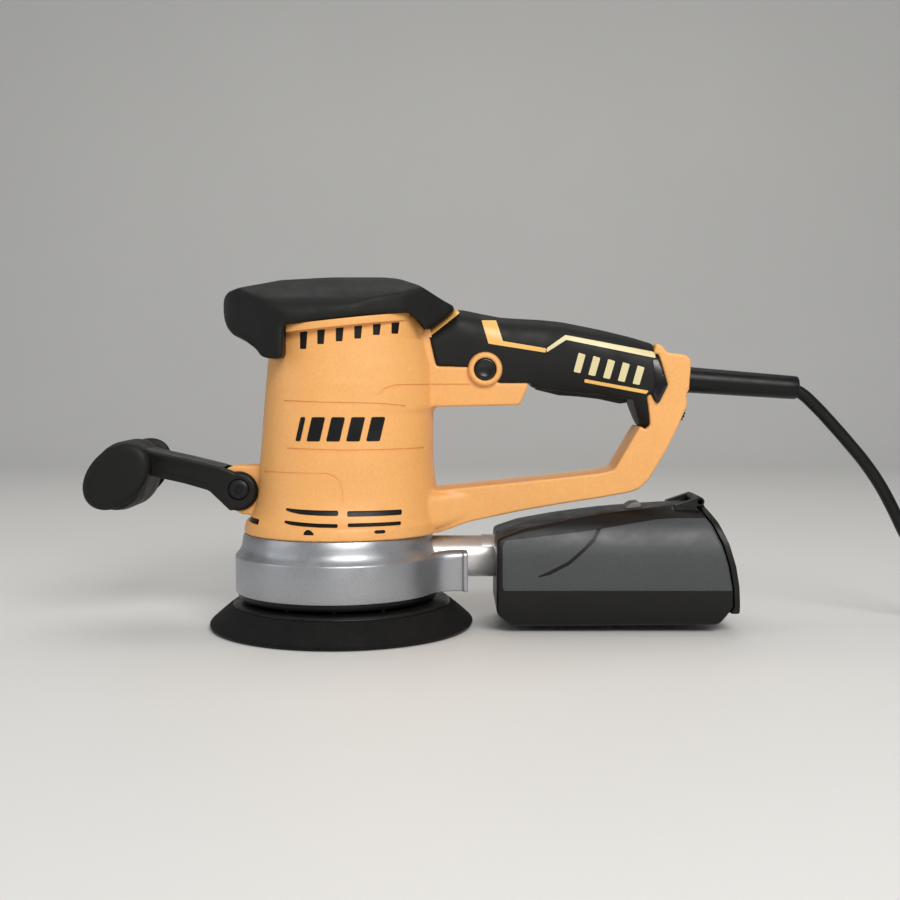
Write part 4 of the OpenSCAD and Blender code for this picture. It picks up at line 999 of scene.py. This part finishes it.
finish(dfront, "dust_box_neck", "dust_box", GREY, ("dust_box_front",), 40)
ears = []
for s in (-1, 1):
    a, b = (-17, -12.4) if s < 0 else (12.4, 17)
    e = ycyl("e", 202, 72, 2.5, a, b, 40, 0.3)
    e2 = prism_y("e2", [(188, 66), (199.5, 66), (200.2, 69.6), (203.9, 70.4), (202.6, 74.4), (200.4, 74.0), (188, 69.8)], a, b)
    fuse(e, e2)
    ears.append(e)
ears = join("ears", *ears)
finish(ears, "lid_hinge_ears", "dust_box", BLACK, (), 40)
finish(dbox, "dust_box_shell", "dust_box", GREY, ("dust_box_container",), 40)
# black over the top and front rim, and painted shade over the lower part below z 24.4 for the shaded underside and its
# shadow, one frame that follows the box
top_and_shade_side = [(80, -5), (230, -5), (230, 24.4), (91.6, 24.4), (90.9, 27), (90.9, 49), (92.4, 52.1), (134, 56.8), (145, 58.3), (161, 60.8), (176, 63.1), (187, 63.8), (204.6, 63.9), (204.6, 80), (80, 80)]
black_top_and_shade_frame = plate("bf", dskin, prism_y("bfs", fillet(top_and_shade_side, 0.6, 2), -45, 45), 0.28, 0.6)
cut(black_top_and_shade_frame, xcyl("dt2", 0, 40.5, 13.5, 80, 95, 72))
cut(black_top_and_shade_frame, join("be", *[box("q", 186.5, 206, a, b, 60, 80) for a, b in ((-17.3, -12.1), (12.1, 17.3))]))
finish(black_top_and_shade_frame, "dust_box_frame", "dust_box", BLACK, (), 40)
# catch for the cap, on top of the box
tab = bevel(prism_y("tab", [(161.5, 63.5), (170.8, 64.5), (170.6, 70.0), (169.2, 70.8), (165.2, 70.4), (161.8, 68.2)], -7, 7), 0.7, 3, 50)
finish(tab, "box_catch", "dust_box", CATCH, (), 35)
kill(dskin)

lid_side = [(201, 70), (207.6, 60.4), (212.6, 49.3), (216.1, 37.2), (218.1, 26.1), (219, 15), (216.8, 11.2), (221.8, 11.2), (221.8, 15),
            (221, 26.5), (219, 38), (215.4, 50.3), (210.3, 61.5), (203.5, 71.5)]
lid = prism_y("lid", fillet(lid_side, [0.6, 8, 8, 8, 8, 1, 0.5, 1.2, 4, 8, 8, 8, 8, 1.0], 3), -40, 40)
meet(lid, prism_x("lsec", curve_through(section(33, 0)), 190, 240))
bevel(lid, 0.5, 2, 55)
kn = ycyl("kn", 202, 72, 2.6, -12, 12, 40, 0.3)
fuse(lid, prism_y("lw", [(202.6, 74.4), (201, 69.5), (203.2, 67), (206, 68)], -11.9, 11.9))
fuse(lid, kn)
cut(lid, ycyl("lp", 202, 72, 1.55, -20, 20, 24))
cut(lid, join("le", ycyl("l1", 202, 72, 3.6, -17.4, -12.1, 40), ycyl("l2", 202, 72, 3.6, 12.1, 17.4, 40)))
finish(lid, "dust_box_lid", "dust_lid", BLACK, ("dust_lid",), 40)

# ------------------------------------------------------------------ front handle
arm = prism_y("arm", fillet([(-110, 101.8), (-104.6, 99.9), (-86.7, 96), (-68.8, 91.6), (-61, 89.0), (-52, 82), (-52, 73), (-61.7, 66.1), (-73.8, 77.8), (-88, 81.9), (-105.3, 85.8), (-110, 87)],
                            [1, 4, 6, 4, 3, 3, 3, 1, 6, 6, 4, 1], 4), -13, 13)
bevel(arm, 1.8, 3, 60)
eye = ycyl("eye", LUG[0] - 0.5, LUG[1] - 1.1, 11.2, -13, 13, 96, 1.6)
arm = join("arm2", arm, eye)
remesh(arm, 0.6, 5)
cut(arm, ycyl("a1", LUG[0], LUG[1], 15.3, -9.3, 9.3, 96))
cut(arm, ycyl("a2", LUG[0], LUG[1], 3.05, -15, 15, 32))
cut(arm, ycyl("a3", LUG[0], LUG[1], 6.2, -15, -11.2, 48))
cut(arm, lathe("a4", [(0, 11.0), (5.9, 11.0), (5.9, 14), (0, 14)], (LUG[0], 0, LUG[1]), "Y", 6))


def capsule(g, N=72):
    pts = []
    c0, c1 = Vector((-123.6, 81.6)), Vector((-120.0, 91.2))
    d = (c1 - c0).normalized()
    ang = math.atan2(d.y, d.x)
    r = 14.6 + g
    for k in range(N // 2 + 1):
        a = ang - math.pi / 2 + math.pi * k / (N // 2)
        pts.append((c1.x + r * math.cos(a), c1.y + r * math.sin(a)))
    for k in range(N // 2 + 1):
        a = ang + math.pi / 2 + math.pi * k / (N // 2)
        pts.append((c0.x + r * math.cos(a), c0.y + r * math.sin(a)))
    return pts


cut(arm, prism_y("a5", capsule(0.05), -16, 16))
# shallow panel on each cheek of the arm
for s in (-1, 1):
    pn = prism_y("pn", fillet([(-104, 96.4), (-88, 92.6), (-72, 88.4), (-72, 80.6), (-88, 85.2), (-104, 89.4)], 1.6, 3), -14 if s < 0 else 12.45, -12.45 if s < 0 else 14)
    cut(arm, pn)
finish(arm, "front_arm", "front_handle", BLACK, ("front_handle_arm",), 40)


def egg(g, N=72):
    """Tilted oval of the end caps, with its points in step with capsule()."""
    ang = math.atan2(9.6, 3.6)
    ca = math.cos(math.radians(45))
    pts = []
    for start in (ang - math.pi / 2, ang + math.pi / 2):
        for k in range(N // 2 + 1):
            t = start + math.pi * (0.006 + 0.988 * k / (N // 2)) - math.radians(45)
            u, v = (21.6 + g) * math.cos(t), (15.0 + g) * math.sin(t)
            pts.append((-121.9 + (u - v) * ca, 86.9 + (u + v) * ca))
    return pts


half_rings = [(30.0, egg(-6.5)), (30.0, egg(-4.0)), (29.7, egg(-2.9)), (29.2, egg(-1.8)), (28.5, egg(-0.8)), (27.6, egg(-0.15)), (26.8, egg(0)), (26.1, egg(-0.3)), (25.6, egg(-1.1)),
              (25.0, capsule(-1.5)), (24.2, capsule(-1.1)), (20, capsule(-0.6)), (15.5, capsule(-0.3)), (13.4, capsule(-0.02)), (12.5, capsule(-0.02))]
cg = [[(x, -y, z) for x, z in pts] for y, pts in half_rings] + [[(x, 0, z) for x, z in capsule(0)]] + [[(x, y, z) for x, z in pts] for y, pts in half_rings[::-1]]
cgrip = loft("cgrip", cg)
finish(cgrip, "front_cross_grip", "front_handle", SOFT, ("front_handle_grip",), 40)
bolt = lathe("bolt", [(0, 12.9), (3, 12.9), (3, -11.2), (5.6, -11.2), (5.6, -12.2), (5.1, -12.75), (3.4, -13.0), (2.3, -13.0), (2.3, -11.9), (0, -11.9)], (LUG[0], 0, LUG[1]), "Y", 48)
finish(bolt, "handle_pivot_bolt", "front_handle", DARKSTEEL, ("handle_bolt",), 40)

# ------------------------------------------------------------------ finishes for the nodes that stay
KEEP = {
    "upper_bearing": STEEL, "lower_bearing": STEEL, "bearing_plate": CAST, "armature_shaft": STEEL, "armature_core": LAMINATION,
    "armature_windings": COPPER, "commutator": COPPER, "stator_core": LAMINATION, "field_coils": COPPER, "brush_holders": BRASS,
    "carbon_brushes": CARBON, "brush_springs": STEEL, "air_baffle": BLACK, "cooling_fan": BLACK, "extraction_fan": CAST,
    "eccentric_counterweight": STEEL, "pad_bearing": STEEL, "pad_spindle": STEEL, "pad_screw": STEEL, "shroud_screws": STEEL,
    "dust_filter": PAPER, "lid_hinge_pin": DARKSTEEL, "trigger_pin": DARKSTEEL, "switch_body": BLACK, "dial_pin": STEEL, "speed_module": BOARD,
    "capacitor": CAPMAT, "lead_wires": WIRE, "cord_clamp": BLACK, "housing_screws": DARKSTEEL, "handle_nut": DARKSTEEL,
}
for o in list(bpy.data.objects):
    key = o.name.split(".")[0]
    if o.type == "MESH" and key in KEEP and o.name not in COL.objects:
        o.data.materials.clear() if len(o.material_slots) == 0 else None
        if len(o.material_slots) == 0:
            o.data.materials.append(KEEP[key])
        for sl in o.material_slots:
            sl.material = KEEP[key]

# ------------------------------------------------------------------ stage
floor_me = bpy.data.meshes.new("floor")
F = 3.0
fv, ff = [], []
prof = [(-F, 0.0), (1.2, 0.0)] + [(1.2 + 0.6 * math.sin(math.radians(a)), 0.6 - 0.6 * math.cos(math.radians(a))) for a in range(10, 91, 10)] + [(1.8, 3.0)]
for x in (-F, F):
    fv += [(x, y, z - 0.0002) for y, z in prof]
n = len(prof)
ff = [[i, i + 1, n + i + 1, n + i] for i in range(n - 1)]
floor_me.from_pydata(fv, [], ff)
floor_me.shade_smooth()
floor = add("floor", floor_me)
FLOORMAT = material("floor_paint", (222, 221, 218), rough=0.55, grain=200, bump=0.05, depth=0.05, vary=0.015, patch=3, wear=0.0, rough_vary=0.04)
floor_me.materials.append(FLOORMAT)


def area(name, loc, target, size, power, colour=(1, 1, 1)):
    ld = bpy.data.lights.new(name, "AREA")
    ld.shape = "RECTANGLE"
    ld.size, ld.size_y = size
    ld.energy = power
    ld.color = colour
    lo = bpy.data.objects.new(name, ld)
    COL.objects.link(lo)
    lo.location = loc
    d = Vector(target) - Vector(loc)
    lo.rotation_euler = d.to_track_quat("-Z", "Y").to_euler()
    return lo


area("key", (0.45, -1.25, 0.95), (0.05, 0, 0.1), (0.9, 0.6), 18, (1.0, 0.98, 0.95))
area("top", (0.0, 0.35, 1.35), (0.05, 0, 0.1), (1.3, 0.8), 5.5, (1.0, 0.99, 0.97))
area("fill", (-1.3, -0.5, 0.6), (0.0, 0, 0.08), (0.8, 0.8), 2.5, (0.93, 0.96, 1.0))
world = bpy.data.worlds.new("studio")
scene.world = world
world.use_nodes = True
bg = world.node_tree.nodes["Background"]
bg.inputs["Color"].default_value = (0.92, 0.94, 0.97, 1)
bg.inputs["Strength"].default_value = 0.30
scene.view_settings.view_transform = "Standard"
scene.view_settings.look = "None"
